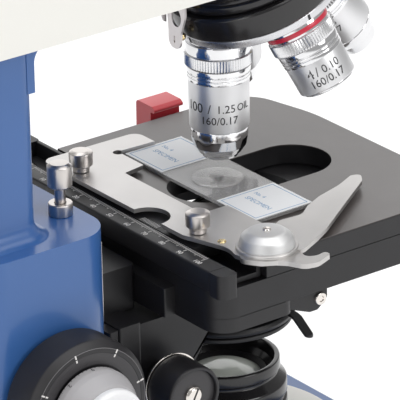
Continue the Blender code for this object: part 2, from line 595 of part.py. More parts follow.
# ---------------------------------------------------------------- nosepiece and objectives
def make_nosepiece():
    """Fixed mount, click spring, turning ring and disc, and the four objectives."""
    frame = turret_matrix()
    mount = [(28.2, -16.0), (28.2, -30), (27.0, -36.4), (12, -36.4), (12, -16.0)]
    smooth(finish("nosepiece_mount", turned_mesh(mount, WIDE, closed=True), BLACK, frame))

    spring = [(-3.6, 53.9, 3.4), (3.6, 53.9, 3.4), (5.3, 65, 2), (5.3, 73.4), (-5.3, 73.4), (-5.3, 65, 2)]
    stand_up = Matrix.Rotation(math.pi / 2, 4, "X")
    clip = finish("click_spring", moved(outline_mesh(spring, -17.0, -16.2), turn=stand_up), STEEL)
    cut(clip, rod_mesh(2.6, 12, 20, "Y", (0, 0, 64.5), sides=SMALL))
    join(clip, block_mesh((-5.3, 15.3, 71.0), (5.3, 16.6, 73.4)))

    turret = anchor("turret_axis", TURRET_APEX)
    grip = [(30.0, -36.8), (30.6, -37.4), (30.6, -43.2), (30.2, -43.8), (14, -43.8), (14, -36.8)]
    smooth(finish("turret_ring", turned_mesh(grip, WIDE, closed=True), KNOB_BLACK, frame, turret))
    shoulder_r = TURRET_REACH * math.sin(TURRET_TILT)
    shoulder_z = -TURRET_REACH * math.cos(TURRET_TILT)
    slope = math.tan(TURRET_TILT)

    def cone_z(radius):
        """Height of the disc's lower cone, square to every objective's axis."""
        return shoulder_z + (radius - shoulder_r) * slope

    disc = [(0, -44.1), (30, -44.1), (30, cone_z(30)), (5, cone_z(5)), (0, cone_z(5))]
    smooth(finish("turret_disc", turned_mesh(disc, WIDE), STEEL, frame, turret))

    objectives = {
        "objective_100x": (0, [(9.8, 0.3), (11.3, 3.9), (11.3, 6.1), (11.9, 6.3), (11.9, 10.9), (11.2, 11.1),
                               (10.9, 16.3), (10.9, 34.1), (10.4, 34.3), (10.4, 41.1), (8.6, 43.3), (8.2, 44.9),
                               (4.2, 45.7), (0, 45.7)]),
        "objective_4x": (1, [(9.8, 0.3), (11.3, 3.7), (11.3, 5.7), (11.9, 5.9), (11.9, 11.9), (10.8, 12.3),
                             (10.8, 27.1), (9.6, 28.5), (8.4, 28.5), (0, 27.1)]),
        "objective_10x": (2, [(9.8, 0.3), (11.3, 3.7), (11.3, 5.7), (11.9, 5.9), (11.9, 11.3), (10.8, 11.7),
                              (10.8, 30.0), (8.4, 35.4), (8.0, 35.8), (7.2, 39.8), (6.6, 40.2), (0, 40.2)]),
        "objective_40x": (3, [(9.8, 0.3), (11.3, 3.7), (11.3, 5.7), (11.9, 5.9), (11.9, 11.3), (10.8, 11.7),
                              (10.8, 36.0), (8.6, 39.5), (8.2, 44.9), (3.6, 45.9), (0, 45.9)]),
    }
    for name, (quarter, steps) in objectives.items():
        spin = Matrix.Rotation(quarter * math.pi / 2, 4, "Z")
        lean = Matrix.Rotation(TURRET_TILT, 4, "X")
        place = frame @ spin @ lean @ Matrix.Translation((0, 0, -TURRET_REACH * MM))
        profile = [(0, -0.3)] + [(r, -down) for r, down in steps]
        smooth(finish(name, turned_mesh(profile, ROUND), NICKEL, place, turret))


# ---------------------------------------------------------------- viewing head
def make_head():
    """Turning head, the two hinged eyepiece wings, diopter ring and eyepieces."""
    head_at = (0, AXIS_Y, HEAD_LIFT)
    head = anchor("head_axis", head_at)
    profile = [(-36, -21, 3), (-24, 12, 8), (-6, 34, 12), (24, 34, 14), (32, 4, 10), (30, -21, 3)]
    body = finish("head_body", outline_mesh(profile, -29, 29, "YZ"), WHITE, head_at, head)
    round_edges(body, 3.0)
    join(body, rod_mesh(24.0, -31.3, -20, sides=ROUND))
    tilt = Matrix.Rotation(EYE_TILT, 4, "X")
    cut(body, moved(block_mesh((-60, -60, 21.5), (60, 60, 90)), turn=tilt))
    cut(body, rod_mesh(HEAD_BORE, -40, 2.0))
    join(body, moved(rod_mesh(13.3, 15, 25.6), turn=tilt))
    join(body, moved(rod_mesh(4.6, 20, 41), turn=tilt))
    join(body, moved(rod_mesh(13.3, 37.2, 41.2), turn=tilt))

    eye = Matrix.Translation(point(*head_at)) @ tilt
    for name, side, low, high in (("left", -1, 26.0, 31.2), ("right", 1, 31.6, 36.8)):
        wing = anchor(f"wing_{name}_axis", head_at)
        angle = -WING_DROOP if side > 0 else math.pi + WING_DROOP
        middle = (WING_ARM * math.cos(angle), WING_ARM * math.sin(angle), 0)
        barrel = rod_mesh(18.2, 22.0, 46.0, centre=middle, sides=ROUND)
        block = finish("wing_" + name, barrel, WHITE, eye, wing)
        join(block, rod_mesh(15.6, 45, 66, centre=middle))
        bridge = block_mesh((0, -11, low), (WING_ARM, 11, high))
        join(block, moved(bridge, turn=Matrix.Rotation(angle, 4, "Z")), rod_mesh(13.2, low, high))
        cut(block, rod_mesh(5.0, 15, 60), rod_mesh(12.0, 52, 80, centre=middle))
        seat = eye @ Matrix.Translation(Vector(middle) * MM)
        if side < 0:
            turn = anchor("diopter_axis", (0, 0, 0))
            turn.location = seat.translation
            ring = ring_mesh(16.9, 12.0, 66.4, 75.4, ROUND)
            smooth(finish("diopter_ring", ring, KNOB_BLACK, seat, turn))
        step = 75.8 if side < 0 else 66.4
        cup = [(0, 113), (11.6, 113), (12.4, 116.5), (16.6, 116.5), (17.2, 114), (16.2, 107), (15.8, 92), (15.2, 90),
               (15.2, step), (11.6, step), (11.6, 54), (0, 54)]
        smooth(finish("eyepiece_" + name, turned_mesh(cup, ROUND), BLACK, seat, wing))


make_base()
make_lamp()
make_controls()
make_arm()
focus_anchor = make_focus()
make_stage(focus_anchor)
make_slide_holder()
make_condenser()
make_nosepiece()
make_head()
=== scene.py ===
"""Looks of an upright binocular microscope: smooth shapes and finishes laid over its working frame.

Lengths inside the classes are millimetres in the stage frame: its origin is the middle of the glass slide on the
stage's top surface, +X to the user's right, the user at -Y, the arm at +Y. Each finished surface is carried from
there into the model's own frame, in metres.
"""
from __future__ import annotations

import json
import logging
import math
from dataclasses import dataclass, replace
from enum import Enum
from functools import lru_cache
from typing import Callable, Iterable, Sequence

import bmesh
import bpy
import numpy as np
from mathutils import Matrix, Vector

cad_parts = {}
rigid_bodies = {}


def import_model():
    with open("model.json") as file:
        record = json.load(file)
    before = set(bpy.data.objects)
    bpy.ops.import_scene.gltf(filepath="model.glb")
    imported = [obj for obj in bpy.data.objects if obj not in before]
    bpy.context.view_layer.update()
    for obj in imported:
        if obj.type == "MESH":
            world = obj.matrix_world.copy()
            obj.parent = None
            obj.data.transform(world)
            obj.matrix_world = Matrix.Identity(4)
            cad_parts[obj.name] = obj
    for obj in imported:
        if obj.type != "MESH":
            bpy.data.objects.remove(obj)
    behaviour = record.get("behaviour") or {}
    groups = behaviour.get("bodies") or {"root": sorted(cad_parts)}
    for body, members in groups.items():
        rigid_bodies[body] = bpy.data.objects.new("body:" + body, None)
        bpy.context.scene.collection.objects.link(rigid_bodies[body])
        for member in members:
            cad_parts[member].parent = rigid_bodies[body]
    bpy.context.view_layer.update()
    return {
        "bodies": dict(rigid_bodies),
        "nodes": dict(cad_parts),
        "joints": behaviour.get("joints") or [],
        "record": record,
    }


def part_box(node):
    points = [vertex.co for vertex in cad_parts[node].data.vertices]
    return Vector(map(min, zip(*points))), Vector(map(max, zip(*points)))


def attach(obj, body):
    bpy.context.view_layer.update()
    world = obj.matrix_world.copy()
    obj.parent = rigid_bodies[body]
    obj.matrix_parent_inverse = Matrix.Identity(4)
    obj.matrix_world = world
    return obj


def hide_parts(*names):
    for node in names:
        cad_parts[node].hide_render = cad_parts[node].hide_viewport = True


LOG = logging.getLogger("microscope")
Array = np.ndarray
Colour = tuple[float, float, float]
TAU = 2.0 * math.pi
MM = 0.001
AXIS_Y = -1.4             # the optical axis, a little in front of the slide's middle
TURRET_TILT = 20.0        # degrees between the nosepiece's axis and the upright
EYE_TILT = 60.0           # degrees between the viewing tubes and the upright


# ------------------------------------------------------------------------------------------------ places
def shift(x: float = 0.0, y: float = 0.0, z: float = 0.0) -> Array:
    """The 4x4 matrix that moves by (x, y, z)."""
    matrix = np.eye(4)
    matrix[:3, 3] = (x, y, z)
    return matrix


def turn(axis: str, degrees: float) -> Array:
    """The 4x4 matrix that turns about a coordinate axis by the right-hand rule.

    Args:
        axis: "X", "Y" or "Z".
        degrees: the angle.

    Returns:
        The matrix, identity outside the plane square to the axis.
    """
    first, second = {"X": (1, 2), "Y": (2, 0), "Z": (0, 1)}[axis]
    c, s = math.cos(math.radians(degrees)), math.sin(math.radians(degrees))
    matrix = np.eye(4)
    matrix[first, first] = matrix[second, second] = c
    matrix[first, second], matrix[second, first] = -s, s
    return matrix


LIES_ALONG_X = turn("Y", 90)
LIES_ALONG_MINUS_X = turn("Y", -90)
OPTICAL_AXIS = shift(0, AXIS_Y)
TURRET = shift(0, AXIS_Y, 110.5) @ turn("X", -TURRET_TILT)
HEAD = shift(0, AXIS_Y, 160)
EYE = HEAD @ turn("X", EYE_TILT)
UPRIGHT = turn("X", 90)                                                        # an outline in X, Z run along -Y
SIDEWAYS = np.array([[0, 0, 1, 0], [1, 0, 0, 0], [0, 1, 0, 0], [0, 0, 0, 1]],
                    float)     # an outline in Y, Z run along X


# ------------------------------------------------------------------------------------------------ surfaces
@dataclass
class Surface:
    """Points, in millimetres, and faces of one or more closed shells."""

    points: Array
    faces: list[tuple[int, ...]]

    def at(self, *places: Array) -> "Surface":
        """The surface carried through 4x4 matrices, the first one outermost."""
        matrix = np.linalg.multi_dot(places) if len(places) > 1 else places[0]
        return Surface(self.points @ matrix[:3, :3].T + matrix[:3, 3], self.faces)

    def __add__(self, other: "Surface") -> "Surface":
        """Both surfaces in one, each still closed by itself."""
        base = len(self.points)
        moved = [tuple(i + base for i in face) for face in other.faces]
        return Surface(np.vstack([self.points, other.points]), self.faces + moved)


def together(surfaces: Iterable[Surface]) -> Surface:
    """All the surfaces in one."""
    total: Surface | None = None
    for surface in surfaces:
        total = surface if total is None else total + surface
    assert total is not None
    return total


def quads(rows: int, cols: int, wrap_rows: bool = False, wrap_cols: bool = True) -> list[tuple[int, ...]]:
    """Faces of a grid whose point (i, j) has number i * cols + j."""
    i = np.arange(rows if wrap_rows else rows - 1)[:, None]
    j = np.arange(cols if wrap_cols else cols - 1)[None, :]
    below, beside = (i + 1) % rows, (j + 1) % cols
    grid = np.stack([i * cols + j + 0 * below, i * cols + beside, below * cols + beside, below * cols + j], -1)
    return [tuple(face) for face in grid.reshape(-1, 4).tolist()]


def soften(corners: Sequence[tuple[float, ...]], closed: bool = False, facets: int = 5) -> Array:
    """Rounds the corners of a line: each corner (a, b, radius) becomes an arc that touches both its sides.

    The arc's middle lies on the corner's bisector at radius / sin(half angle), and it touches each side at
    radius / tan(half angle) from the corner.

    Args:
        corners: places (a, b) or (a, b, radius).
        closed: whether the last corner joins the first.
        facets: straight steps in each arc.

    Returns:
        The points of the rounded line, one row each.
    """
    places = np.array([corner[:2] for corner in corners], float)
    rounded: list[Array] = []
    count = len(places)
    for i, corner in enumerate(corners):
        here = places[i]
        inner = closed or 0 < i < count - 1
        if len(corner) < 3 or corner[2] <= 0 or not inner:
            rounded.append(here[None])
            continue
        before, after = places[i - 1] - here, places[(i + 1) % count] - here
        room = 0.49 * min(np.linalg.norm(before), np.linalg.norm(after))
        before, after = before / np.linalg.norm(before), after / np.linalg.norm(after)
        half = math.acos(float(np.clip(before @ after, -1, 1))) / 2
        reach = min(corner[2] / math.tan(half), room)
        radius = reach * math.tan(half)
        bisector = (before + after) / np.linalg.norm(before + after)
        middle = here + bisector * radius / math.sin(half)
        first, last = here + before * reach - middle, here + after * reach - middle
        sweep = math.atan2(first[0] * last[1] - first[1] * last[0], first @ last)
        angle = math.atan2(first[1], first[0]) + sweep * np.linspace(0, 1, facets + 1)
        rounded.append(middle + radius * np.stack([np.cos(angle), np.sin(angle)], -1))
    return np.vstack(rounded)


def arc(x: float, y: float, radius: float, start: float, end: float, count: int = 24) -> Array:
    """Points on an arc round (x, y), from start to end degrees."""
    angle = np.radians(np.linspace(start, end, count))
    return np.stack([x + radius * np.cos(angle), y + radius * np.sin(angle)], -1)


def revolve(profile: Array, steps: int = 96, closed: bool = False,
            wave: Callable[[Array, Array], Array] | None = None) -> Surface:
    """A turned shape: point (i, j) is profile point i carried round Z by angle j.

    Args:
        profile: rows of (radius, height), down the outer side.
        steps: points round the axis.
        closed: whether the profile is a ring's closed section.
        wave: added to the radius, from the arrays of angle and height, as knurling.

    Returns:
        The surface.
    """
    angle = np.linspace(0.0, TAU, steps, endpoint=False)[None, :]
    height = np.repeat(profile[:, 1:2], steps, axis=1)
    radius = np.repeat(profile[:, 0:1], steps, axis=1)
    if wave is not None:
        radius = radius + wave(angle, height)
    points = np.stack([radius * np.cos(angle), radius * np.sin(angle), height], -1).reshape(-1, 3)
    return Surface(points, quads(len(profile), steps, wrap_rows=closed))


def turned(corners: Sequence[tuple[float, ...]], steps: int = 96, closed: bool = False,
           wave: Callable[[Array, Array], Array] | None = None, radius: float = 0.25) -> Surface:
    """A turned shape from profile corners (radius, height[, rounding]); corners off the axis are broken by radius."""
    eased = [c if len(c) > 2 or c[0] < 0.01 else (*c, radius) for c in corners]
    return revolve(soften(eased, closed, 3), steps, closed, wave)


def knurl(count: int, depth: float, low: float, high: float) -> Callable[[Array, Array], Array]:
    """Straight knurling: a triangle wave of the angle, cut only between two heights."""

    def wave(angle: Array, height: Array) -> Array:
        """Depth of the cut at each angle and height."""
        ramp = np.abs(((angle * count / TAU) % 1.0) * 2.0 - 1.0)
        return -depth * ramp * ((height > low) & (height < high))

    return wave


def drawn(curve: bpy.types.Curve) -> Surface:
    """The filled and extruded shape of a curve or of lettering; the curve is used up."""
    made = bpy.data.objects.new(curve.name, curve)
    bpy.context.scene.collection.objects.link(made)
    bpy.context.view_layer.update()
    mesh = bpy.data.meshes.new_from_object(made.evaluated_get(bpy.context.evaluated_depsgraph_get()))
    points = np.empty(len(mesh.vertices) * 3)
    mesh.vertices.foreach_get("co", points)
    faces = [tuple(polygon.vertices) for polygon in mesh.polygons]
    bpy.data.objects.remove(made)
    bpy.data.curves.remove(curve)
    bpy.data.meshes.remove(mesh)
    return Surface(points.reshape(-1, 3), faces)


def plate(rim: Array, low: float, high: float, holes: Sequence[Array] = ()) -> Surface:
    """A flat plate between two heights, filled inside its rim and outside its holes."""
    curve = bpy.data.curves.new("rim", "CURVE")
    curve.dimensions, curve.fill_mode, curve.extrude = "2D", "BOTH", (high - low) / 2
    for line in (rim, *holes):
        spline = curve.splines.new("POLY")
        spline.points.add(len(line) - 1)
        spline.points.foreach_set("co", np.column_stack([line, np.zeros(len(line)), np.ones(len(line))]).ravel())
        spline.use_cyclic_u = True
    return drawn(curve).at(shift(z=(high + low) / 2))


def slab(low: tuple[float, float, float], high: tuple[float, float, float], radius: float = 0.0) -> Surface:
    """A box whose upright edges are rounded."""
    (x0, y0, z0), (x1, y1, z1) = low, high
    rim = soften([(x0, y0, radius), (x1, y0, radius), (x1, y1, radius), (x0, y1, radius)], True, 8)
    return plate(rim, z0, z1)


def loft(rings: Sequence[Array], levels: Sequence[float]) -> Surface:
    """A closed shape through level outlines of equal point count, one at each height.

    Args:
        rings: outlines, each an array of (x, y).
        levels: the height of each.

    Returns:
        The surface, with a flat cap at each end.
    """
    count = len(rings[0])
    points = np.vstack([np.column_stack([ring, np.full(count, level)]) for ring, level in zip(rings, levels)])
    caps = [tuple(range(count)), tuple(range(len(points) - count, len(points)))]
    return Surface(points, quads(len(rings), count) + caps)



def lettering(text: str, size: float, depth: float = 0.03) -> Surface:
    """Raised figures lying in the XY plane, centred on the origin; size is the height of a capital line."""
    curve = bpy.data.curves.new("letters", "FONT")
    curve.body, curve.size, curve.extrude = text, size, depth
    curve.align_x, curve.align_y, curve.resolution_u = "CENTER", "CENTER", 3
    return drawn(curve)


def wrapped(flat: Surface, radius: float, degrees: float, height: float) -> Surface:
    """Lays flat figures round a cylinder: x becomes arc length, z stands out from the radius."""
    angle = flat.points[:, 0] / radius + math.radians(degrees)
    out = radius + flat.points[:, 2]
    points = np.stack([out * np.cos(angle), out * np.sin(angle), flat.points[:, 1] + height], -1)
    return Surface(points, flat.faces)


def boxes(low: Array, high: Array) -> Surface:
    """Many small boxes at once, one for each row of lowest and highest corners."""
    pick = np.array([[0, 0, 0], [1, 0, 0], [1, 1, 0], [0, 1, 0], [0, 0, 1], [1, 0, 1], [1, 1, 1], [0, 1, 1]])
    points = low[:, None, :] + pick[None] * (high - low)[:, None, :]
    sides = np.array([[0, 3, 2, 1], [4, 5, 6, 7], [0, 1, 5, 4], [1, 2, 6, 5], [2, 3, 7, 6], [3, 0, 4, 7]])
    faces = sides[None] + 8 * np.arange(len(low))[:, None, None]
    return Surface(points.reshape(-1, 3), [tuple(f) for f in faces.reshape(-1, 4).tolist()])


def block(x0: float, y0: float, z0: float, x1: float, y1: float, z1: float) -> Surface:
    """One small box between two corners."""
    return boxes(np.array([[x0, y0, z0]], float), np.array([[x1, y1, z1]], float))


def oval(x: float, y: float, wide: float, tall: float, count: int) -> Array:
    """The outline of an ellipse round (x, y) with the given half width and half height."""
    angle = np.linspace(0, TAU, count, endpoint=False)
    return np.stack([wide * np.cos(angle) + x, tall * np.sin(angle) + y], -1)


def raised(corners: Sequence[tuple[float, ...]], lift: float) -> list[tuple[float, ...]]:
    """Profile corners carried along the axis by lift."""
    return [(corner[0], corner[1] + lift, *corner[2:]) for corner in corners]


# ------------------------------------------------------------------------------------------------ finishes
class Grain(Enum):
    """The kind of fine relief that a finish carries."""

    PEEL = "soft paint ripple"
    SAND = "fine blasted or moulded grain"
    LATHE = "turning marks square to an axis"
    BRUSH = "brush marks along X"


@dataclass(frozen=True)
class Finish:
    """A surface finish: base shader values, its relief and how unevenly it has worn."""

    name: str
    slot: str
    colour: Colour
    roughness: float
    metallic: float = 0.0
    grain: Grain = Grain.SAND
    relief: float = 0.12
    scale: float = 2500.0
    mottle: float = 0.06
    smudge: float = 0.12
    coat: float = 0.0
    ior: float = 1.5
    transmission: float = 0.0
    axis: tuple[float, float, float] = (0.0, 0.0, 1.0)

    def material(self) -> bpy.types.Material:
        """The node material, made once."""
        return build_material(self)


@lru_cache(maxsize=None)
def build_material(finish: Finish) -> bpy.types.Material:
    """Builds a finish: colour drifts slowly over the piece, roughness smudges, and the grain is a bump.

    Args:
        finish: what to build.

    Returns:
        The material, reading Object coordinates only.
    """
    material = bpy.data.materials.new(finish.name)
    material.use_nodes = True
    tree = material.node_tree
    nodes, links = tree.nodes, tree.links
    shader = nodes["Principled BSDF"]
    shader.inputs["Metallic"].default_value = finish.metallic
    shader.inputs["IOR"].default_value = finish.ior
    shader.inputs["Coat Weight"].default_value = finish.coat
    shader.inputs["Coat Roughness"].default_value = 0.12
    shader.inputs["Transmission Weight"].default_value = finish.transmission
    where = nodes.new("ShaderNodeTexCoord").outputs["Object"]

    drift = nodes.new("ShaderNodeTexNoise")
    drift.inputs["Scale"].default_value = 55.0
    drift.inputs["Detail"].default_value = 4.0
    links.new(where, drift.inputs["Vector"])
    tint = nodes.new("ShaderNodeMix")
    tint.data_type = "RGBA"
    links.new(drift.outputs["Fac"], tint.inputs["Factor"])
    for socket, share in ((6, 1.0 - finish.mottle), (7, 1.0 + finish.mottle)):
        tint.inputs[socket].default_value = (*(min(c * share, 1.0) for c in finish.colour), 1.0)
    links.new(tint.outputs[2], shader.inputs["Base Color"])

    smudge = nodes.new("ShaderNodeTexNoise")
    smudge.inputs["Scale"].default_value = 140.0
    smudge.inputs["Detail"].default_value = 6.0
    links.new(where, smudge.inputs["Vector"])
    level = nodes.new("ShaderNodeMapRange")
    level.inputs["To Min"].default_value = finish.roughness * (1.0 - finish.smudge)
    level.inputs["To Max"].default_value = min(finish.roughness * (1.0 + finish.smudge), 1.0)
    links.new(smudge.outputs["Fac"], level.inputs["Value"])
    links.new(level.outputs["Result"], shader.inputs["Roughness"])

    relief = nodes.new("ShaderNodeTexNoise")
    relief.inputs["Scale"].default_value = finish.scale
    relief.inputs["Detail"].default_value = 3.0
    if finish.grain is Grain.LATHE:
        along = nodes.new("ShaderNodeVectorMath")
        along.operation = "DOT_PRODUCT"
        along.inputs[1].default_value = finish.axis
        links.new(where, along.inputs[0])
        relief.noise_dimensions = "1D"
        links.new(along.outputs["Value"], relief.inputs["W"])
    elif finish.grain is Grain.BRUSH:
        stretch = nodes.new("ShaderNodeMapping")
        stretch.inputs["Scale"].default_value = (0.04, 1.0, 1.0)
        links.new(where, stretch.inputs["Vector"])
        links.new(stretch.outputs["Vector"], relief.inputs["Vector"])
    else:
        relief.inputs["Detail"].default_value = 1.0 if finish.grain is Grain.PEEL else 5.0
        links.new(where, relief.inputs["Vector"])
    bump = nodes.new("ShaderNodeBump")
    bump.inputs["Strength"].default_value = finish.relief
    bump.inputs["Distance"].default_value = 0.0001
    links.new(relief.outputs["Fac"], bump.inputs["Height"])
    links.new(bump.outputs["Normal"], shader.inputs["Normal"])
    return material


BLUE = Finish("blue_enamel", "blue_paint", (0.035, 0.115, 0.33), 0.34, grain=Grain.PEEL, relief=0.12, scale=900,
              mottle=0.05, coat=0.35)
IVORY = Finish("ivory_enamel", "white_paint", (0.80, 0.79, 0.745), 0.38, grain=Grain.PEEL, relief=0.15, scale=900,
               mottle=0.02, coat=0.1)
BLACK = Finish("black_enamel", "black_paint", (0.009, 0.0085, 0.01), 0.44, relief=0.22, scale=3800, mottle=0.15)
GLOSS_BLACK = Finish("gloss_black_enamel", "black_paint", (0.012, 0.011, 0.012), 0.2, grain=Grain.PEEL, relief=0.08,
                     scale=700, mottle=0.1, coat=0.2)
STAGE_TOP = Finish("stage_coating", "stage_coating", (0.062, 0.052, 0.049), 0.33, relief=0.1, scale=5200, mottle=0.1,
                   ior=1.75)
NICKEL_SHEET = Finish("satin_nickel_sheet", "nickel", (0.57, 0.555, 0.545), 0.42, 1.0, relief=0.2, scale=4200,
                      mottle=0.04)
NICKEL = Finish("bright_nickel", "nickel", (0.74, 0.70, 0.66), 0.17, 1.0, grain=Grain.LATHE, relief=0.05, scale=3500)
SATIN_KNURL = Finish("knurled_nickel", "nickel", (0.62, 0.585, 0.56), 0.3, 1.0, relief=0.1, scale=3000, mottle=0.08)
SPUN_DOME = Finish("turned_aluminium", "nickel", (0.72, 0.72, 0.72), 0.5, 1.0, grain=Grain.LATHE, relief=0.35,
                   scale=1500)
STEEL = Finish("spring_steel", "steel", (0.66, 0.63, 0.63), 0.36, 1.0, grain=Grain.BRUSH, relief=0.15, scale=1800)
BRASS = Finish("brass", "brass", (0.78, 0.62, 0.34), 0.24, 1.0, grain=Grain.LATHE, relief=0.1, scale=2500)
KNOB = Finish("moulded_black", "knob_plastic", (0.016, 0.015, 0.017), 0.46, relief=0.25, scale=3200, mottle=0.12)
KNOB_FACE = Finish("knob_face", "knob_plastic", (0.036, 0.034, 0.037), 0.4, relief=0.2, scale=3000, mottle=0.1)
KNOB_EDGE = Finish("knob_edge_line", "knob_plastic", (0.16, 0.155, 0.16), 0.35, relief=0.1, scale=3000, mottle=0.1)
WHITE_FACE = Finish("white_moulding", "grey_plastic", (0.80, 0.80, 0.81), 0.3, relief=0.05, scale=2600, mottle=0.02)
# painted shade: the fine knobs' sides are the same pale moulding as their white faces, painted at half brightness for
# the side turned from the light
SHADED_PALE_KNOB = Finish("pale_moulding_painted_shade", "grey_plastic", (0.40, 0.39, 0.40), 0.36, relief=0.08, scale=2600, mottle=0.03)
RUBBER = Finish("foot_rubber", "rubber", (0.03, 0.03, 0.031), 0.8, relief=0.5, scale=2200, mottle=0.2)
RED = Finish("red_moulding", "red_plastic", (0.62, 0.035, 0.05), 0.34, relief=0.06, scale=1500, mottle=0.06, coat=0.15)
MARKING = Finish("white_marking", "white_paint", (0.72, 0.70, 0.68), 0.6, relief=0.1, scale=4000, mottle=0.12)
ENGRAVING = Finish("black_engraving", "black_paint", (0.02, 0.02, 0.022), 0.5, relief=0.1, scale=5000, mottle=0.2)
PAPER = Finish("label_paper", "white_paint", (0.84, 0.85, 0.86), 0.65, relief=0.25, scale=3800, mottle=0.02)
INK = Finish("label_ink", "blue_paint", (0.22, 0.36, 0.55), 0.6, relief=0.1, scale=4000, mottle=0.15)
GLASS = Finish("slide_glass", "glass", (0.86, 0.85, 0.84), 0.06, relief=0.0, mottle=0.02, smudge=0.2, ior=1.3,
               transmission=0.74)
DARK_LENS = Finish("dark_lens", "glass", (0.03, 0.032, 0.032), 0.1, relief=0.0, mottle=0.05, ior=1.5, coat=0.2)
CHROME = Finish("chrome", "chrome", (0.80, 0.80, 0.81), 0.1, 1.0, grain=Grain.LATHE, relief=0.04, scale=3000)
SATIN_BARREL = Finish("satin_barrel", "chrome", (0.80, 0.80, 0.81), 0.42, 1.0, grain=Grain.LATHE, relief=0.1,
                      scale=4200)
KNURLED_CHROME = Finish("knurled", "chrome", (0.78, 0.78, 0.79), 0.26, 1.0, grain=Grain.LATHE, relief=0.05, scale=3000)
TISSUE = Finish("stained_tissue", "red_plastic", (0.62, 0.40, 0.44), 0.5, relief=0.4, scale=3000, mottle=0.35)
LENS = Finish("coated_lens", "glass", (0.80, 0.84, 0.77), 0.16, relief=0.0, mottle=0.05, ior=1.5, coat=0.3)


class Objectives(Enum):
    """The four objectives: quarter turn on the nosepiece, barrel length, band colour and markings."""

    X100 = (0, 34.2, "objective_100x", ("100 / 1.25 OIL", "160 / 0.17"))
    X4 = (1, 25.6, "objective_4x", ("4 / 0.10", "160 / 0.17"))
    X10 = (2, 30.0, "objective_10x", ("10 / 0.25", "160 / 0.17"))
    X40 = (3, 36.0, "objective_40x", ("40 / 0.65", "160 / 0.17"))

    @property
    def axis(self) -> Array:
        """The place of its shoulder: Z up its barrel, -Z out of the nosepiece."""
        return TURRET @ turn("Z", 90.0 * self.value[0]) @ turn("X", TURRET_TILT) @ shift(0, 0, -55.0)


# ------------------------------------------------------------------------------------------------ assembling
class Bench:
    """Turns surfaces into pieces of the model and puts each on the body it moves with."""

    def __init__(self, frame_nodes: dict[str, bpy.types.Object]) -> None:
        """Finds the stage frame from the slide and the stage top in the working frame.

        Args:
            frame_nodes: the working solids by name.
        """
        self.frame_nodes = frame_nodes
        low, high = (np.array(corner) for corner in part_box("glass_slide"))
        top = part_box("stage_top_plate")[1][2]
        self.origin = np.array([(low[0] + high[0]) / 2, (low[1] + high[1]) / 2, top])
        self.count = 0

    def place(self, name: str, surface: Surface, finish: Finish, body: str, *nodes: str, bevel: float = 0.0,
              sharp: float = 35.0, segments: int = 3) -> bpy.types.Object:
        """Makes one piece.

        Args:
            name: the piece's name.
            surface: its shape in the stage frame.
            finish: its finish.
            body: the body it rides on.
            nodes: the working solids it stands for.
            bevel: width of the rounding on its sharp edges, in millimetres.
            sharp: degrees above which an edge counts as sharp.
            segments: steps in that rounding.

        Returns:
            The piece, at the origin with its place in its mesh.
        """
        mesh = bpy.data.meshes.new(name)
        mesh.from_pydata((surface.points * MM + self.origin).tolist(), [], surface.faces)
        shell = bmesh.new()
        shell.from_mesh(mesh)
        bmesh.ops.remove_doubles(shell, verts=shell.verts, dist=2e-6)
        bmesh.ops.recalc_face_normals(shell, faces=shell.faces)
        shell.to_mesh(mesh)
        shell.free()
        mesh.shade_smooth()
        mesh.set_sharp_from_angle(angle=math.radians(sharp))
        mesh.materials.append(finish.material())
        made = bpy.data.objects.new(name, mesh)
        bpy.context.scene.collection.objects.link(made)
        if bevel > 0:
            rounding = made.modifiers.new("rounded", "BEVEL")
            rounding.width, rounding.segments = bevel * MM, segments
            rounding.limit_method, rounding.angle_limit = "ANGLE", math.radians(sharp)
            rounding.harden_normals = True
        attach(made, body)
        if nodes:
            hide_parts(*nodes)
        self.count += 1
        LOG.info("%s on %s", name, body)
        return made

    def dress(self, finish: Finish, *nodes: str) -> None:
        """Gives working solids that stay in view their finish."""
        for node in nodes:
            target = self.frame_nodes[node]
            target.data.materials.clear()
            target.data.materials.append(finish.material())
            LOG.info("%s dressed", node)


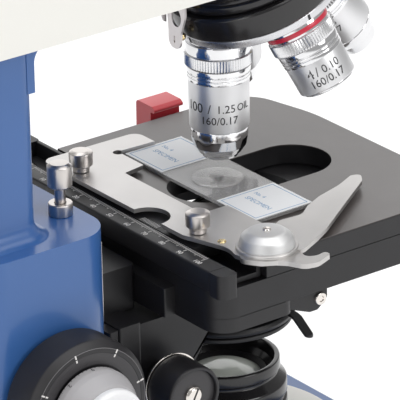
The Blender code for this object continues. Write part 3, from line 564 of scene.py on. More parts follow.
# ------------------------------------------------------------------------------------------------ base
@dataclass
class Base:
    """The blue base with its white round panel, collector, feet and electrics."""

    half_width: float = 72.0
    front: float = -48.4
    rear: float = 148.0
    top: float = -98.0
    bottom: float = -143.0

    def build(self, bench: Bench) -> None:
        """Makes the base's pieces."""
        w, y0, y1 = self.half_width, self.front, self.rear
        rim = soften([(-w, y0, 24), (w, y0, 24), (w, y1, 24), (-w, y1, 24)], True, 10)
        bench.place("base_shell", plate(rim, self.bottom, self.top), BLUE, "stand", "base_casting", bevel=3.5,
                    segments=4)
        skirt = soften([(-w - 0.3, y0 - 0.3, 24), (w + 0.3, y0 - 0.3, 24), (w + 0.3, y1 + 0.3, 24),
                        (-w - 0.3, y1 + 0.3, 24)], True, 10)
        bench.place("base_skirt", plate(skirt, self.bottom - 0.2, self.bottom + 4.0), BLACK, "stand", bevel=0.6)
        panel = turned([(41.2, -95.9, 0.6), (42.0, -96.6, 0.6), (42.0, -98.2), (22.5, -98.2), (22.5, -95.9, 0.4)], 128,
                       True)
        bench.place("white_panel", panel.at(shift(0, AXIS_Y)), IVORY, "stand", "base_top_panel")
        centres = ((-52, -28.2), (52, -28.2), (-52, 127.8), (52, 127.8))
        names = ("foot_front_left", "foot_front_right", "foot_rear_left", "foot_rear_right")
        for (x, y), node in zip(centres, names):
            foot = turned([(0, -145.0), (9, -145.0, 0.6), (8.2, -149.9, 1.0), (3.2, -149.9), (2.8, -148.4),
                           (0, -148.4)], 48)
            bench.place(node.replace("foot", "rubber_foot"), foot.at(shift(x, y)), RUBBER, "stand", node)
        bench.dress(BLACK, "bottom_plate")
        bench.dress(STEEL, "lamp_module")
        self.electrics(bench)
        self.collector(bench)

    def electrics(self, bench: Bench) -> None:
        """Makes the inlet, the rocker switch and the brightness knob with its scale."""
        y = self.rear
        rim = soften([(-25.6, -130.6, 2), (1.6, -130.6, 2), (1.6, -108.4, 2), (-25.6, -108.4, 2)], True)
        well = soften([(-21, -127, 1.5), (-3, -127, 1.5), (-3, -115, 3.5), (-7, -112, 2), (-17, -112, 2),
                       (-21, -115, 3.5)], True)
        bezel = plate(rim, -y - 0.8, -y + 12, [well]).at(UPRIGHT)
        floor = plate(rim, -y + 12, -y + 20).at(UPRIGHT)
        bench.place("inlet_bezel", bezel + floor, KNOB, "stand", "power_inlet", bevel=0.5)
        pins = np.array([[-17.0, y - 12, -122.5], [-8.6, y - 12, -122.5], [-12.8, y - 12, -118.4]])
        size = np.array([1.8, 9.0, 4.0])
        bench.place("inlet_pins", boxes(pins, pins + size), NICKEL, "stand", bevel=0.25)
        rocker = soften([(y - 8.2, -124, 0.8), (y - 0.4, -126.1, 1.0), (y + 0.9, -119.5, 2.5), (y - 0.4, -112.9, 1.0),
                         (y - 8.2, -115, 0.8)], True)
        bench.place("rocker", plate(rocker, 15.2, 28.8).at(SIDEWAYS), KNOB_FACE, "switch", "power_switch", bevel=0.6)
        ring_mark = plate(arc(0, 0, 1.7, 0, 352, 32), 0, 0.1, [arc(0, 0, 1.2, 0, 352, 32)])
        bench.place("switch_ring_mark", ring_mark.at(shift(22, y + 0.35, -123.3), turn("X", 90 + 11)), MARKING,
                    "switch")
        knob = turned([(0, 11.2), (8.6, 11.2, 1.0), (10.4, 9.8, 1.2), (10.8, 0.5, 0.4), (3.6, 0.5), (3.6, -8.0),
                       (0, -8.0)],
                      160, wave=knurl(40, 0.45, 1.5, 9.0))
        bench.place("brightness_knob", knob.at(shift(self.half_width, 8, -120), LIES_ALONG_X), KNOB, "dimmer",
                    "dimmer_knob")
        pointer = block(10.9, -0.45, 3.5, 11.35, 0.45, 9.6)
        bench.place("brightness_pointer", pointer.at(shift(self.half_width, 8, -120)), MARKING, "dimmer")
        angle = np.radians(np.linspace(-225, 45, 11))
        dots = together(turned([(0, 0.2), (0.7 + 0.05 * k, 0.2), (0.7 + 0.05 * k, -0.1), (0, -0.1)], 16)
                        .at(shift(self.half_width, 8 + 14.5 * math.cos(a), -120 - 14.5 * math.sin(a)), LIES_ALONG_X)
                        for k, a in enumerate(angle))
        bench.place("brightness_scale", dots, MARKING, "stand")

    def collector(self, bench: Bench) -> None:
        """Makes the lamp's grooved collector housing and its domed, pale lens."""
        housing = [
            (19.7, -69.6, 0.5), (19.9, -73.6, 0.6), (19.0, -74.4, 0.3), (19.0, -75.4, 0.6), (22.2, -78.0, 1.2),
            (22.3, -82.6, 0.5), (21.4, -83.2, 0.3), (21.4, -84.6, 0.3), (22.3, -85.2, 0.5), (22.3, -90.4, 0.5),
            (21.5, -91.0, 0.3), (21.5, -92.4, 0.3), (22.3, -93.0, 0.5), (22.3, -100.6, 0.3), (12.5, -100.6),
            (12.5, -82.5),
            (15.2, -82.5), (15.2, -75.6, 0.3), (17.0, -73.2, 0.4), (17.9, -69.6, 0.5),
        ]
        place = shift(0, AXIS_Y, 2.8)
        bench.place("collector_body", turned(housing, 128, True).at(place), GLOSS_BLACK, "stand", "collector_housing")
        lens = [(0, -73.2), (5.0, -73.5, 6), (11.0, -75.2, 8), (14.6, -77.6, 1), (15.0, -81.9), (0, -81.9)]
        bench.place("collector_lens", turned(lens, 96, radius=0.1).at(place), LENS, "stand", "field_lens")
        iris = [(14.9, -74.9, 0.2), (15.3, -75.6, 0.2), (15.3, -77.4), (13.0, -77.4), (13.0, -76.6, 0.2)]
        bench.place("collector_retainer", turned(iris, 96, True).at(place), BLACK, "stand")


# ------------------------------------------------------------------------------------------------ arm
@dataclass
class Arm:
    """The blue casting with its focus housing and the ivory cover over the beam."""

    column_half: float = 28.0
    column_front: float = 95.3
    housing_half: float = 38.5
    housing_front: float = 70.5
    housing_top: float = 15.0
    cover_half: float = 34.0
    cover_bottom: float = 83.3
    cover_top: float = 128.0

    def build(self, bench: Bench) -> None:
        """Makes the arm's pieces."""
        front, rear = self.column_front, 146.0
        near = front - 2.0
        rings, levels = [], []
        for step in np.linspace(0, 90, 10):
            flare = 6.0 * (1 - math.sin(math.radians(step)))
            levels.append(self.housing_top - 0.1 + 6.0 * (1 - math.cos(math.radians(step))))
            rings.append(soften([(-28 - flare, near - flare, 6 + flare), (28 + flare, near - flare, 6 + flare),
                                 (28 + flare, rear, 14), (-28 - flare, rear, 14)], True, 8))
        levels.append(88.0)
        rings.append(rings[-1])
        column = loft(rings, levels)
        ell = soften([(-self.housing_half, self.housing_front, 13), (self.housing_half, self.housing_front, 13),
                      (self.housing_half, 124, 10), (-self.housing_half, 124, 10)], True, 12)
        bench.place("column", column, BLUE, "stand", "arm_casting")
        foot = soften([(-28, front, 5), (28, front, 5), (28, rear, 14), (-28, rear, 14)], True, 8)
        bench.place("column_foot", plate(foot, -97.7, self.housing_top), BLUE, "stand")
        bench.place("focus_housing", plate(ell, -97.7, self.housing_top), BLUE, "stand", bevel=1.6, segments=5)
        under = plate(soften([(-27.5, -44, 6), (27.5, -44, 6), (27.5, front + 4), (-27.5, front + 4)], True), 83.0, 90)
        bench.place("beam_underside", under, BLUE, "stand", bevel=0.5)
        self.fillet(bench)
        self.cover(bench)
        self.screws(bench)

    def fillet(self, bench: Bench) -> None:
        """Makes the curved web between column and beam: a quarter circle run across the column's width."""
        front, reach = self.column_front - 2.0, 8.4
        rim = soften([(front - reach - 8, 86.0), (front - reach - 8, 83.3), (front - reach, 83.3, 20), (front, 80.4, 8),
                      (front, 66.0), (front + 3, 66.0), (front + 3, 86.0)], True, 8)
        bench.place("beam_web", plate(rim, -27.4, 27.4).at(SIDEWAYS), BLUE, "stand")

    def cover(self, bench: Bench) -> None:
        """Makes the ivory cover, its top ring for the head and the side clamp."""
        y0, y1 = -56.0, 149.0
        side = soften([(y0, self.cover_bottom, 5), (y0, self.cover_top, 16), (y1, self.cover_top, 30),
                       (y1, self.cover_bottom, 4)], True, 12)
        shell = plate(side, -self.cover_half, self.cover_half).at(SIDEWAYS)
        bench.place("beam_cover", shell, IVORY, "stand", "arm_cover", bevel=4.0, sharp=50, segments=6)
        ring = [(24.4, 136.0, 0.5), (24.4, 128.6), (14, 128.6), (14, 126), (29.2, 126), (30.0, 128.2, 0.8),
                (30.0, 135.2, 0.8),
                (29.0, 136.0, 0.5)]
        bench.place("head_seat", turned(ring[::-1], 128, True).at(shift(0, AXIS_Y)), IVORY, "stand")
        knob = [(0, 14.0), (4.6, 14.0, 0.6), (5.2, 13.4, 0.5), (5.2, 5.2, 0.5), (3.2, 5.0), (3.2, 0.5), (2.0, 0.5),
                (2.0, -5.0), (0, -5)]
        made = turned(knob, 128, wave=knurl(32, 0.3, 5.6, 13.0)).at(shift(30, AXIS_Y, 131.8), LIES_ALONG_X)
        bench.place("head_clamp_knob", made, NICKEL, "head_clamp", "head_clamp_screw")

    def screws(self, bench: Bench) -> None:
        """Makes the focus travel screw with its lock ring."""
        place = shift(-17, 77.8, self.housing_top + 1.0)
        head = [(0, 17.6), (3.0, 17.6, 0.6), (4.15, 16.7, 0.4), (4.15, 9.6, 0.3), (3.4, 9.0, 0.2), (1.9, 8.9),
                (1.9, -11), (0, -11)]
        bench.place("travel_screw", turned(head, 168, wave=knurl(42, 0.45, 10.0, 16.4)).at(place), SATIN_KNURL,
                    "limit_screw",
                    "limit_screw")
        ring = [(3.9, 3.4, 0.3), (4.15, 3.1, 0.3), (4.15, -0.9, 0.3), (2.0, -0.9), (2.0, 3.4, 0.2)]
        bench.place("travel_lock_ring", turned(ring, 168, True, knurl(42, 0.22, 0.2, 2.9)).at(place), SATIN_KNURL,
                    "lock_ring",
                    "limit_lock_ring")


# ------------------------------------------------------------------------------------------------ focus drive
@dataclass
class FocusDrive:
    """Coaxial coarse and fine knobs on both sides, the tension collar, the slide, rack and guide."""

    y: float = 94.5
    z: float = -38.5

    def build(self, bench: Bench) -> None:
        """Makes the focus drive's pieces."""
        for name, sign, inner in (("left", -1, 39.0), ("right", 1, 45.1)):
            place = shift(sign * inner, self.y, self.z) @ turn("Y", sign * 90)
            drum = [(20.6, 16.1, 0.3), (22.3, 15.9, 0.6), (24.3, 13.6, 1.6), (24.3, 2.0, 0.8), (23.2, 0.4, 0.6),
                    (6.6, 0.4),
                    (6.6, 14.6), (15.6, 14.6), (15.6, 15.6), (20.3, 15.6)]
            bench.place(f"coarse_drum_{name}", turned(drum, 160, True).at(place), KNOB, "coarse_drive",
                        f"coarse_knob_{name}")
            face = [(22.0, 15.95, 0.2), (22.0, 15.2), (16.4, 15.2), (16.4, 15.95, 0.2)]
            bench.place(f"coarse_face_{name}", turned(face, 128, True, radius=0.1).at(place), KNOB_FACE, "coarse_drive")
            edge = [(22.25, 16.02), (22.25, 15.9), (22.05, 15.9), (22.05, 16.02)]
            bench.place(f"coarse_edge_line_{name}", turned(edge, 128, True, radius=0.02).at(place), KNOB_EDGE,
                        "coarse_drive")
            ticks = together(block(19.6, -0.28, 15.9, 22.4, 0.28, 16.05).at(place, turn("Z", a))
                             for a in range(14, 374, 45))
            bench.place(f"coarse_ticks_{name}", ticks, MARKING, "coarse_drive")
            cap = [(0, 11.0), (11.8, 11.0, 0.3), (12.9, 9.8, 0.6), (13.6, 8.4, 2), (15.2, 5.2, 1.2), (15.9, 3.0, 0.6),
                   (15.9, 0.2, 0.3),
                   (3.2, 0.2), (3.2, 6), (0, 6)]
            crown = [(0, 12.4), (6.5, 12.5, 2), (9.0, 13.4, 1.2), (11.0, 13.7, 0.8), (12.2, 12.9, 0.8),
                     (12.3, 10.9, 0.2), (0, 10.9)]
            hub = place @ shift(0, 0, 16.2)
            # the cap's side carries painted shade, a darker copy of the face's white; the face piece keeps the
            # moulding's own colour
            bench.place(f"fine_cap_{name}", turned(cap, 128).at(hub), SHADED_PALE_KNOB, "fine_drive", f"fine_knob_{name}")
            bench.place(f"fine_face_{name}", turned(crown, 128).at(hub), WHITE_FACE, "fine_drive")
            figures = together(wrapped(lettering(str(k * 2), 2.2, 0.05), 15.9, k * 36.0, 1.7) for k in range(10))
            marks = together(block(15.85, -0.1, 0.3, 15.98, 0.1, 0.9).at(turn("Z", a))
                             for a in range(0, 360, 6))
            bench.place(f"fine_scale_{name}", (figures + marks).at(hub), ENGRAVING, "fine_drive")
        collar = [(20.6, 5.7, 0.4), (21.5, 4.9, 0.4), (21.5, 0.9, 0.4), (20.6, 0.2), (6.8, 0.2), (6.8, 5.7)]
        made = turned(collar, 216, True, knurl(54, 0.5, 1.0, 4.8)).at(shift(39.0, self.y, self.z), LIES_ALONG_X)
        bench.place("tension_ring", made, KNOB, "tension", "tension_collar")
        bench.dress(BRASS, "coarse_sleeve", "focus_rack")
        bench.dress(STEEL, "fine_shaft", "guide_dovetail")
        self.slide(bench)

    def slide(self, bench: Bench) -> None:
        """Makes the moving slide: its block, dovetail lips and the two bracket cheeks."""
        bench.place("slide_block", slab((-32, 56.5, -80), (32, 66.1, -25.5), 1.5), BLACK, "focus_carriage",
                    "focus_slide",
                    bevel=0.8)
        lips = slab((-32, 66, -80), (-24.4, 70, -26), 1) + slab((24.4, 66, -80), (32, 70, -26), 1)
        head = slab((-20, 50.0, -26), (20, 66.1, -10.0), 2)
        bench.place("slide_head", head, BLACK, "focus_carriage", bevel=0.8)
        bench.place("slide_lips", lips, BLACK, "focus_carriage", bevel=0.4)
        cheek = soften([(57, -27.3), (23, -27.3, 2), (23, -33, 2), (36, -52, 10), (41, -72, 4), (57, -74)], True, 8)
        cheeks = plate(cheek, -30, -16).at(SIDEWAYS) + plate(cheek, 16, 30).at(SIDEWAYS)
        bench.place("slide_cheeks", cheeks, BLACK, "focus_carriage", bevel=0.8)


# ------------------------------------------------------------------------------------------------ stage
@dataclass
class Stage:
    """Lower plate with its lug, the coated top plate, the scaled rail, the clip and the low knobs."""

    drive_x: float = 70.0
    drive_y: float = 36.0
    scale_zero: float = 50.0

    def rim(self, grow: float) -> Array:
        """The top plate's outline, grown or shrunk evenly: rounded front corners and a bowed front."""
        g = grow
        return soften([(-61.8 - g, 26.0), (-61.8 - g, -57.5 - g, 15), (-28, -64.2 - g, 60), (28, -64.2 - g, 60),
                       (59.4 + g, -57.5 - g, 15), (59.4 + g, 26.0)], True, 10)

    def build(self, bench: Bench) -> None:
        """Makes the stage's pieces."""
        slot = np.vstack([arc(-1.3, 5.2, 14.2, 0, 180, 32), arc(-1.3, -31.3, 14.2, 180, 360, 32)])
        wide = np.vstack([arc(-1.3, 5.2, 14.6, 0, 180, 32), arc(-1.3, -31.3, 14.6, 180, 360, 32)])
        bench.place("stage_plate", plate(self.rim(0), -7.4, -0.35, [wide]), BLACK, "upper_stage", "stage_top_plate",
                    bevel=0.4)
        bench.place("stage_skin", plate(self.rim(-0.25), -0.4, 0.0, [slot]), STAGE_TOP, "upper_stage", bevel=0.15,
                    segments=2)
        lower = soften([(-61.3, -60, 13), (59, -60, 13), (59, 46, 9), (-61.3, 46, 9)], True, 10)
        hole = arc(0, AXIS_Y, 29, 0, 357, 96)
        bench.place("stage_base", plate(lower, -19, -7.9, [hole]), BLACK, "focus_carriage", "stage_lower_plate",
                    bevel=0.5)
        boss = soften([(-61.3, 12, 4), (-30, 24, 40), (30, 24, 40), (59, 12, 4), (59, 46, 9), (-61.3, 46, 9)], True, 10)
        bench.place("stage_boss", plate(boss, -24.0, -18.6), BLACK, "focus_carriage", bevel=0.6)
        ridge = slab((-37, 45, -24), (37, 50.5, -13.4), 0.6)
        bench.place("rail_ridge", ridge, BLACK, "focus_carriage", bevel=0.5)
        self.lug(bench)
        self.rail(bench)
        self.knobs(bench)

    def lug(self, bench: Bench) -> None:
        """Makes the bracket lug under the stage's side with its countersunk screw."""
        side = soften([(24, -18.5), (24, -24.4, 2), (14, -24.4, 8), (4, -28.4, 1.5), (0.5, -28.4, 1.5),
                       (-3.6, -25.0, 2), (-3.6, -18.5)],
                      True, 8)
        bench.place("stage_lug", plate(side, -56.6, -44).at(SIDEWAYS), BLACK, "focus_carriage", bevel=0.7)
        screw = [(0, 0.4), (0.9, 0.4, 0.1), (1.1, 0.9, 0.1), (2.2, 0.9, 0.3), (2.4, 0.2), (2.4, -1.0), (0, -1.0)]
        bench.place("lug_screw", turned(screw, 40, radius=0.05).at(shift(-56.7, -0.4, -24.4), LIES_ALONG_MINUS_X),
                    NICKEL,
                    "focus_carriage")

    def rail(self, bench: Bench) -> None:
        """Makes the channelled rail, its end block, its screws and the millimetre scale with figures."""
        section = soften([(26.4, -7.5), (26.4, -0.2, 0.5), (28.2, -0.2, 0.3), (28.2, -5.6), (40.9, -5.6),
                          (40.9, 0, 0.3),
                          (48, 0, 0.7), (48, -7.5, 0.5)], True, 3)
        bench.place("rail_channel", plate(section, -59, 78).at(SIDEWAYS), BLACK, "upper_stage", "x_rail", bevel=0.3)
        block = soften([(-66, 40.9, 1.5), (-59.2, 40.9), (-59.2, 48.0), (-66, 48.0, 3.5)], True, 8)
        bench.place("rail_end_block", plate(block, -8.6, 0.0), BLACK, "upper_stage", bevel=0.9)
        side_block = soften([(69.6, 26.4, 1.5), (80, 26.4, 4), (80, 48, 4), (69.6, 48)], True, 8)
        bench.place("rail_drive_block", plate(side_block, -7.5, 0.0), BLACK, "upper_stage", bevel=0.7)
        fixings = together(turned([(0, -0.2), (0.8, -0.2), (0.9, 0.1), (1.7, 0.1, 0.1), (1.9, -0.1), (1.9, -1.5),
                                   (0, -1.5)], 32)
                           .at(shift(x, 34.6, -5.5)) for x in (-53.5, 63.5))
        bench.place("rail_screws", fixings, NICKEL, "upper_stage")
        step = np.arange(0, 101)
        length = np.where(step % 10 == 0, 3.0, np.where(step % 5 == 0, 2.2, 1.5))
        zero = self.scale_zero
        x = zero - 1.0 * step
        ticks = boxes(np.stack([x - 0.1, 41.4 + 0 * x, 0 * x - 0.02], -1),
                      np.stack([x + 0.1, 41.4 + length, 0 * x + 0.05], -1))
        figures = together(lettering(str(10 * k), 2.6, 0.03).at(shift(zero - 10 * k, 46.0, 0.02), turn("Z", 180))
                           for k in range(11))
        bench.place("rail_scale", ticks + figures, MARKING, "upper_stage")
        xv = -13.2 - 0.9 * np.arange(0, 11) + 4.0
        vernier = boxes(np.stack([xv - 0.1, 37.6 + 0 * xv, 0 * xv - 0.25], -1),
                        np.stack([xv + 0.1, 39.9 + 0 * xv, 0 * xv - 0.15], -1))
        bench.place("carriage_bar", slab((-40, 28.8, -5.2), (40, 40.4, -0.2), 0.6), BLACK, "slide_holder", "x_carriage",
                    bevel=0.3)
        bench.place("vernier_scale", vernier, MARKING, "slide_holder")
        profile = soften([(62.4, 0.5, 0.8), (61.8, 1.6, 1.2), (63.4, 2.8, 1.6), (73.2, 2.9, 1.4), (73.4, -8.8, 1),
                          (64.4, -8.8, 0.6), (64.4, 0.5)], True, 6)
        bench.place("edge_clip", plate(profile, 18.4, 31.2).at(UPRIGHT), RED, "upper_stage", "side_clip", bevel=0.9,
                    segments=4)

    def knobs(self, bench: Bench) -> None:
        """Makes the low coaxial stage knobs and their shaft."""
        place = shift(self.drive_x, self.drive_y)
        shaft = [(0, -7), (5.4, -7), (5.4, -12, 0.5), (4.6, -13, 0.5), (4.6, -49.4, 0.4), (2.3, -49.8), (2.3, -78.8),
                 (0, -78.8)]
        bench.place("stage_drive_shaft", turned(shaft, 64).at(place), BLACK, "upper_stage")
        for node, low, high, radius, teeth in (("y_knob", -64.0, -50.4, 11.0, 54), ("x_knob", -78.0, -64.5, 9.0, 44)):
            shape = [(radius - 0.9, high, 0.5), (radius, high - 0.9, 0.4), (radius, low + 0.9, 0.4),
                     (radius - 0.9, low, 0.5),
                     (2.9, low), (2.9, high)]
            made = turned(shape, teeth * 4, True, knurl(teeth, 0.4, low + 1.2, high - 1.2)).at(place)
            bench.place("stage_" + node, made, KNOB, {"y_knob": "y_drive", "x_knob": "x_drive"}[node], node)


# ------------------------------------------------------------------------------------------------ slide holder
@dataclass
class SlideHolder:
    """The nickel plate with its thumb screws, the sprung finger and the labelled slide."""

    pivot: tuple[float, float] = (-60.3, 24.6)
    top: float = 2.7
    thickness: float = 1.5

    def build(self, bench: Bench) -> None:
        """Makes the slide holder's pieces."""
        px, py = self.pivot
        rim = np.vstack([
            soften([(37.6, -0.6, 0.8), (48.4, -0.6, 4.0), (48.9, 40.2, 4.0), (30, 40.2), (10, 40.2), (-3, 40.2)], False,
                   8),
            arc(-14.2, 40.2, 7.8, 0, -180, 28),
            soften([(-24, 40.2), (-34, 40.2, 6), (-52, 34.6, 14), (-58, 36.2)], False, 10),
            arc(px, py, 11.2, 88, 262, 26),
            soften([(-58, 13.6), (-44, 13.4, 2), (-23.6, 13.4), (-23.6, 24.2, 0.8), (21.2, 24.2, 0.8),
                    (22.8, 15.0, 0.6), (35.2, 14.9)],
                   False, 5),
            arc(37.6, 15.2, 1.9, 190, -70, 16),
        ])
        low = self.top - self.thickness
        holes = [arc(x, 34.8, 1.7, 0, 345, 20) for x in (32.4, -35.5)]
        bench.place("holder_plate", plate(rim, low, self.top, holes), NICKEL_SHEET, "slide_holder",
                    "slide_holder_plate",
                    bevel=0.3, segments=2)
        rivet = turned([(0, 0.5), (1.3, 0.45, 0.3), (1.6, 0.0), (1.6, -1.2), (0, -1.2)],
                       32).at(shift(-46.7, 33.2, self.top))
        bench.place("holder_rivet", rivet, BRASS, "slide_holder")
        for name, x in (("left", -35.5), ("right", 32.4)):
            head = [(0, 10.6), (2.6, 10.6, 0.8), (4.2, 9.9, 0.4), (4.2, 5.3, 0.3), (3.0, 4.6, 0.3), (3.0, 2.9, 0.2),
                    (1.5, 2.9), (1.5, 0.1),
                    (0, 0.1)]
            made = turned(head, 160, wave=knurl(32, 0.5, 5.5, 9.6)).at(shift(x, 34.8))
            bench.place(f"holder_screw_{name}", made, SATIN_KNURL, f"thumb_{name}", f"thumb_screw_{name}")
        self.finger(bench)
        self.slide(bench)

    def finger(self, bench: Bench) -> None:
        """Makes the sprung finger: curved blade, tail lever, stepped dome and its small rivet."""
        px, py = self.pivot
        blade = soften([(-50, 16.0), (-46.2, 8.6, 3), (-47.0, -0.6, 5), (-42.4, -6.6, 3), (-38.6, -14.5, 10),
                        (-35.2, -26, 30),
                        (-31.2, -34.2, 2.2), (-32.6, -37.6, 2.4), (-37.2, -34.6, 6), (-45.6, -22.5, 30),
                        (-61.0, -0.5, 30),
                        (-65.4, 7.2, 12), (-70.6, 17.6, 3), (-62.0, 24.0)], True, 8)
        bench.place("finger_blade", plate(blade, 1.9, 3.4), NICKEL_SHEET, "finger", "slide_finger", bevel=0.3,
                    segments=2)
        tail = soften([(-58.0, 34.6, 2), (-62.1, 36.8, 2.4), (-67.9, 33.0, 4), (-70.6, 28.4, 3), (-73.4, 25.8, 4),
                       (-78.9, 23.2, 4),
                       (-80.2, 18.4, 5), (-77.4, 11.2, 1), (-74.8, 11.2, 1), (-75.6, 15.6, 4), (-73.6, 19.0, 4),
                       (-66.0, 16.0, 4),
                       (-52.0, 18.0, 4), (-50.5, 30.0, 4)], True, 8)
        bench.place("finger_tail", plate(tail, 0.9, 2.6), NICKEL_SHEET, "finger", bevel=0.3, segments=2)
        dome = [(0, 9.4), (6.2, 9.2, 2.5), (8.8, 7.2, 1.6), (9.6, 4.4, 0.6), (9.7, 3.0, 0.2), (0, 3.0)]
        bench.place("finger_dome", turned(dome, 128).at(shift(px, py)), SPUN_DOME, "finger")
        collar = [(0, 3.9), (10.4, 3.9, 0.3), (10.6, 3.4, 0.2), (10.6, 2.4, 0.2), (0, 2.4)]
        bench.place("finger_collar", turned(collar, 128).at(shift(px, py)), NICKEL_SHEET, "finger")
        pin = [(0, 10.0), (1.3, 9.95, 0.3), (1.5, 9.4, 0.2), (1.5, 8.8), (0, 8.8)]
        bench.place("finger_pin", turned(pin, 40).at(shift(px, py)), NICKEL, "finger")

    def slide(self, bench: Bench) -> None:
        """Makes the glass slide, its cover glass, specimen and two paper labels with generic words."""
        low, high = 0.3, 1.4
        bench.place("slide_glass", slab((-38.1, -12.7, low), (38.1, 12.7, high), 0.3), GLASS, "slide_holder",
                    "glass_slide")
        cover = [(0, high + 0.22), (9.0, high + 0.22, 0.05), (9.0, high + 0.04), (0, high + 0.04)]
        bench.place("cover_glass", turned(cover, 96, radius=0.03), GLASS, "slide_holder")
        angle = np.linspace(0, TAU, 48, endpoint=False)
        radius = 3.1 + 0.5 * np.sin(3 * angle + 0.6) + 0.25 * np.sin(7 * angle)
        spot = np.stack([radius * np.cos(angle), 0.7 * radius * np.sin(angle)], -1)
        bench.place("specimen", plate(spot, high + 0.01, high + 0.04), TISSUE, "slide_holder")
        for name, x0, x1 in (("left", -37.6, -15.8), ("right", 15.8, 37.6)):
            paper = slab((x0, -12.3, high + 0.01), (x1, 12.3, high + 0.14), 0.3)
            bench.place(f"label_{name}", paper, PAPER, "slide_holder")
            frame = plate(soften([(x0 + 1.1, -11.2), (x1 - 1.1, -11.2), (x1 - 1.1, 11.2), (x0 + 1.1, 11.2)], True),
                          high + 0.13, high + 0.17,
                          [soften([(x0 + 1.4, -10.9), (x1 - 1.4, -10.9), (x1 - 1.4, 10.9), (x0 + 1.4, 10.9)], True)])
            middle = (x0 + x1) / 2
            word = lettering("SPECIMEN", 3.0, 0.02).at(shift(middle, 2.6, high + 0.15), turn("Z", 180))
            number = lettering("No. 4", 2.4, 0.02).at(shift(middle + 5, -2.0, high + 0.15), turn("Z", 180))
            bench.place(f"label_ink_{name}", frame + (word + number), INK, "slide_holder")


# ------------------------------------------------------------------------------------------------ condenser
@dataclass
class Condenser:
    """Carrier, condenser barrel with its lever, filter ring and height knob."""

    knob_y: float = 49.0
    knob_z: float = -48.5
    lever_fall: float = 0.16     # how far the iris lever drops for each millimetre outwards
    lever_lift: float = 6.1

    def build(self, bench: Bench) -> None:
        """Makes the condenser's pieces."""
        bench.place("carrier_block", slab((-13.7, 40, -66), (13.7, 56.2, -34), 1.0), BLACK, "condenser",
                    "condenser_carrier", bevel=0.7)
        ring = [(24.6, -36.5, 0.8), (25.0, -37.6, 0.6), (25.0, -41.4, 0.6), (24.4, -42.2, 0.5), (21.0, -42.2),
                (21.0, -36.5)]
        bench.place("carrier_ring", turned(ring, 128, True).at(OPTICAL_AXIS), BLACK, "condenser")
        bench.place("carrier_web", slab((-11, 20, -45.6), (11, 41, -36.5), 0.6), BLACK, "condenser", bevel=0.6)
        body = [
            (0, -9.5), (10.6, -9.5), (12.0, -10.6, 0.6), (12.2, -13.0, 0.5), (16.5, -16.4, 1.5), (21.1, -24.0, 2),
            (21.1, -42.0),
            (23.5, -42.4, 0.4), (23.5, -43.6, 0.4), (17.4, -43.8), (17.4, -46.3), (24.9, -46.4, 0.3),
            (25.6, -47.6, 0.6),
            (25.2, -49.0, 0.6), (15.2, -49.2, 0.5), (15.0, -36.0), (0, -33.0),
        ]
        bench.place("condenser_barrel", turned(body, 128).at(OPTICAL_AXIS), BLACK, "condenser", "condenser_body")
        lens = [(0, -8.2), (6.0, -8.4, 4), (9.6, -9.4), (0, -9.4)]
        bench.place("condenser_top_lens", turned(lens, 64, radius=0.1).at(OPTICAL_AXIS), DARK_LENS, "condenser",
                    "condenser_lens")
        lever = soften([(-15.4, -14.6), (-15.4, -11.2), (-26.0, -12.0, 8), (-38.2, -8.4, 1.7), (-39.6, -11.2, 1.7),
                        (-27.0, -15.2, 8)],
                       True)
        slope = np.eye(4)
        slope[2, 0], slope[2, 3] = self.lever_fall, self.lever_lift
        blade = plate(lever, -48.6, -47.6).at(slope)
        hoop = plate(arc(0, AXIS_Y, 20.9, 0, 356, 90), -45.8, -44.6, [arc(0, AXIS_Y, 17.6, 0, 356, 90)])
        bench.place("iris_handle", blade + hoop, BLACK, "iris", "iris_lever", bevel=0.3)
        hoop = [(24.2, -49.6, 0.4), (24.6, -50.0, 0.3), (24.6, -51.0, 0.3), (24.2, -51.4, 0.3), (16.2, -51.4),
                (16.2, -49.6)]
        ear = [(0, -49.55), (4.2, -49.55, 0.3), (4.2, -51.5, 0.3), (0, -51.5)]
        bench.place("filter_ring", turned(hoop, 128, True).at(OPTICAL_AXIS) + turned(ear, 48).at(shift(18, -19.4)),
                    BLACK, "filter",
                    "filter_holder")
        self.knob(bench)

    def knob(self, bench: Bench) -> None:
        """Makes the height knob with its recessed face and slotted screw."""
        place = shift(-30, self.knob_y, self.knob_z) @ LIES_ALONG_MINUS_X
        drum = [(0, 19.6), (9.2, 19.6), (9.2, 21.2, 0.3), (10.3, 21.2, 0.5), (10.6, 20.4, 0.5), (10.6, 8.7, 0.5),
                (5.0, 8.2), (5.0, 0.7), (2.8, 0.7), (2.8, -11.8),
                (0, -11.8)]
        bench.place("height_knob", turned(drum, 128).at(place), KNOB, "condenser_drive", "condenser_knob")
        face = [(0, 19.85), (9.05, 19.85, 0.1), (9.05, 19.5), (0, 19.5)]
        bench.place("height_knob_face", turned(face, 96).at(place), KNOB_FACE, "condenser_drive")
        ring = [(11.2, 8.5, 0.15), (11.2, 8.0, 0.15), (9.8, 8.0), (9.8, 8.5)]
        bench.place("height_knob_washer", turned(ring, 96, True, radius=0.05).at(place), NICKEL, "condenser_drive")
        head = turned([(0, 21.4), (2.6, 21.4, 0.4), (3.4, 20.7, 0.3), (3.4, 19.6), (0, 19.6)], 64).at(place)
        bench.place("height_knob_screw", head, NICKEL, "condenser_drive")
        groove = block(-0.35, -3.0, 21.2, 0.35, 3.0, 21.45).at(place, turn("Z", 62))
        bench.place("height_knob_slot", groove, ENGRAVING, "condenser_drive")


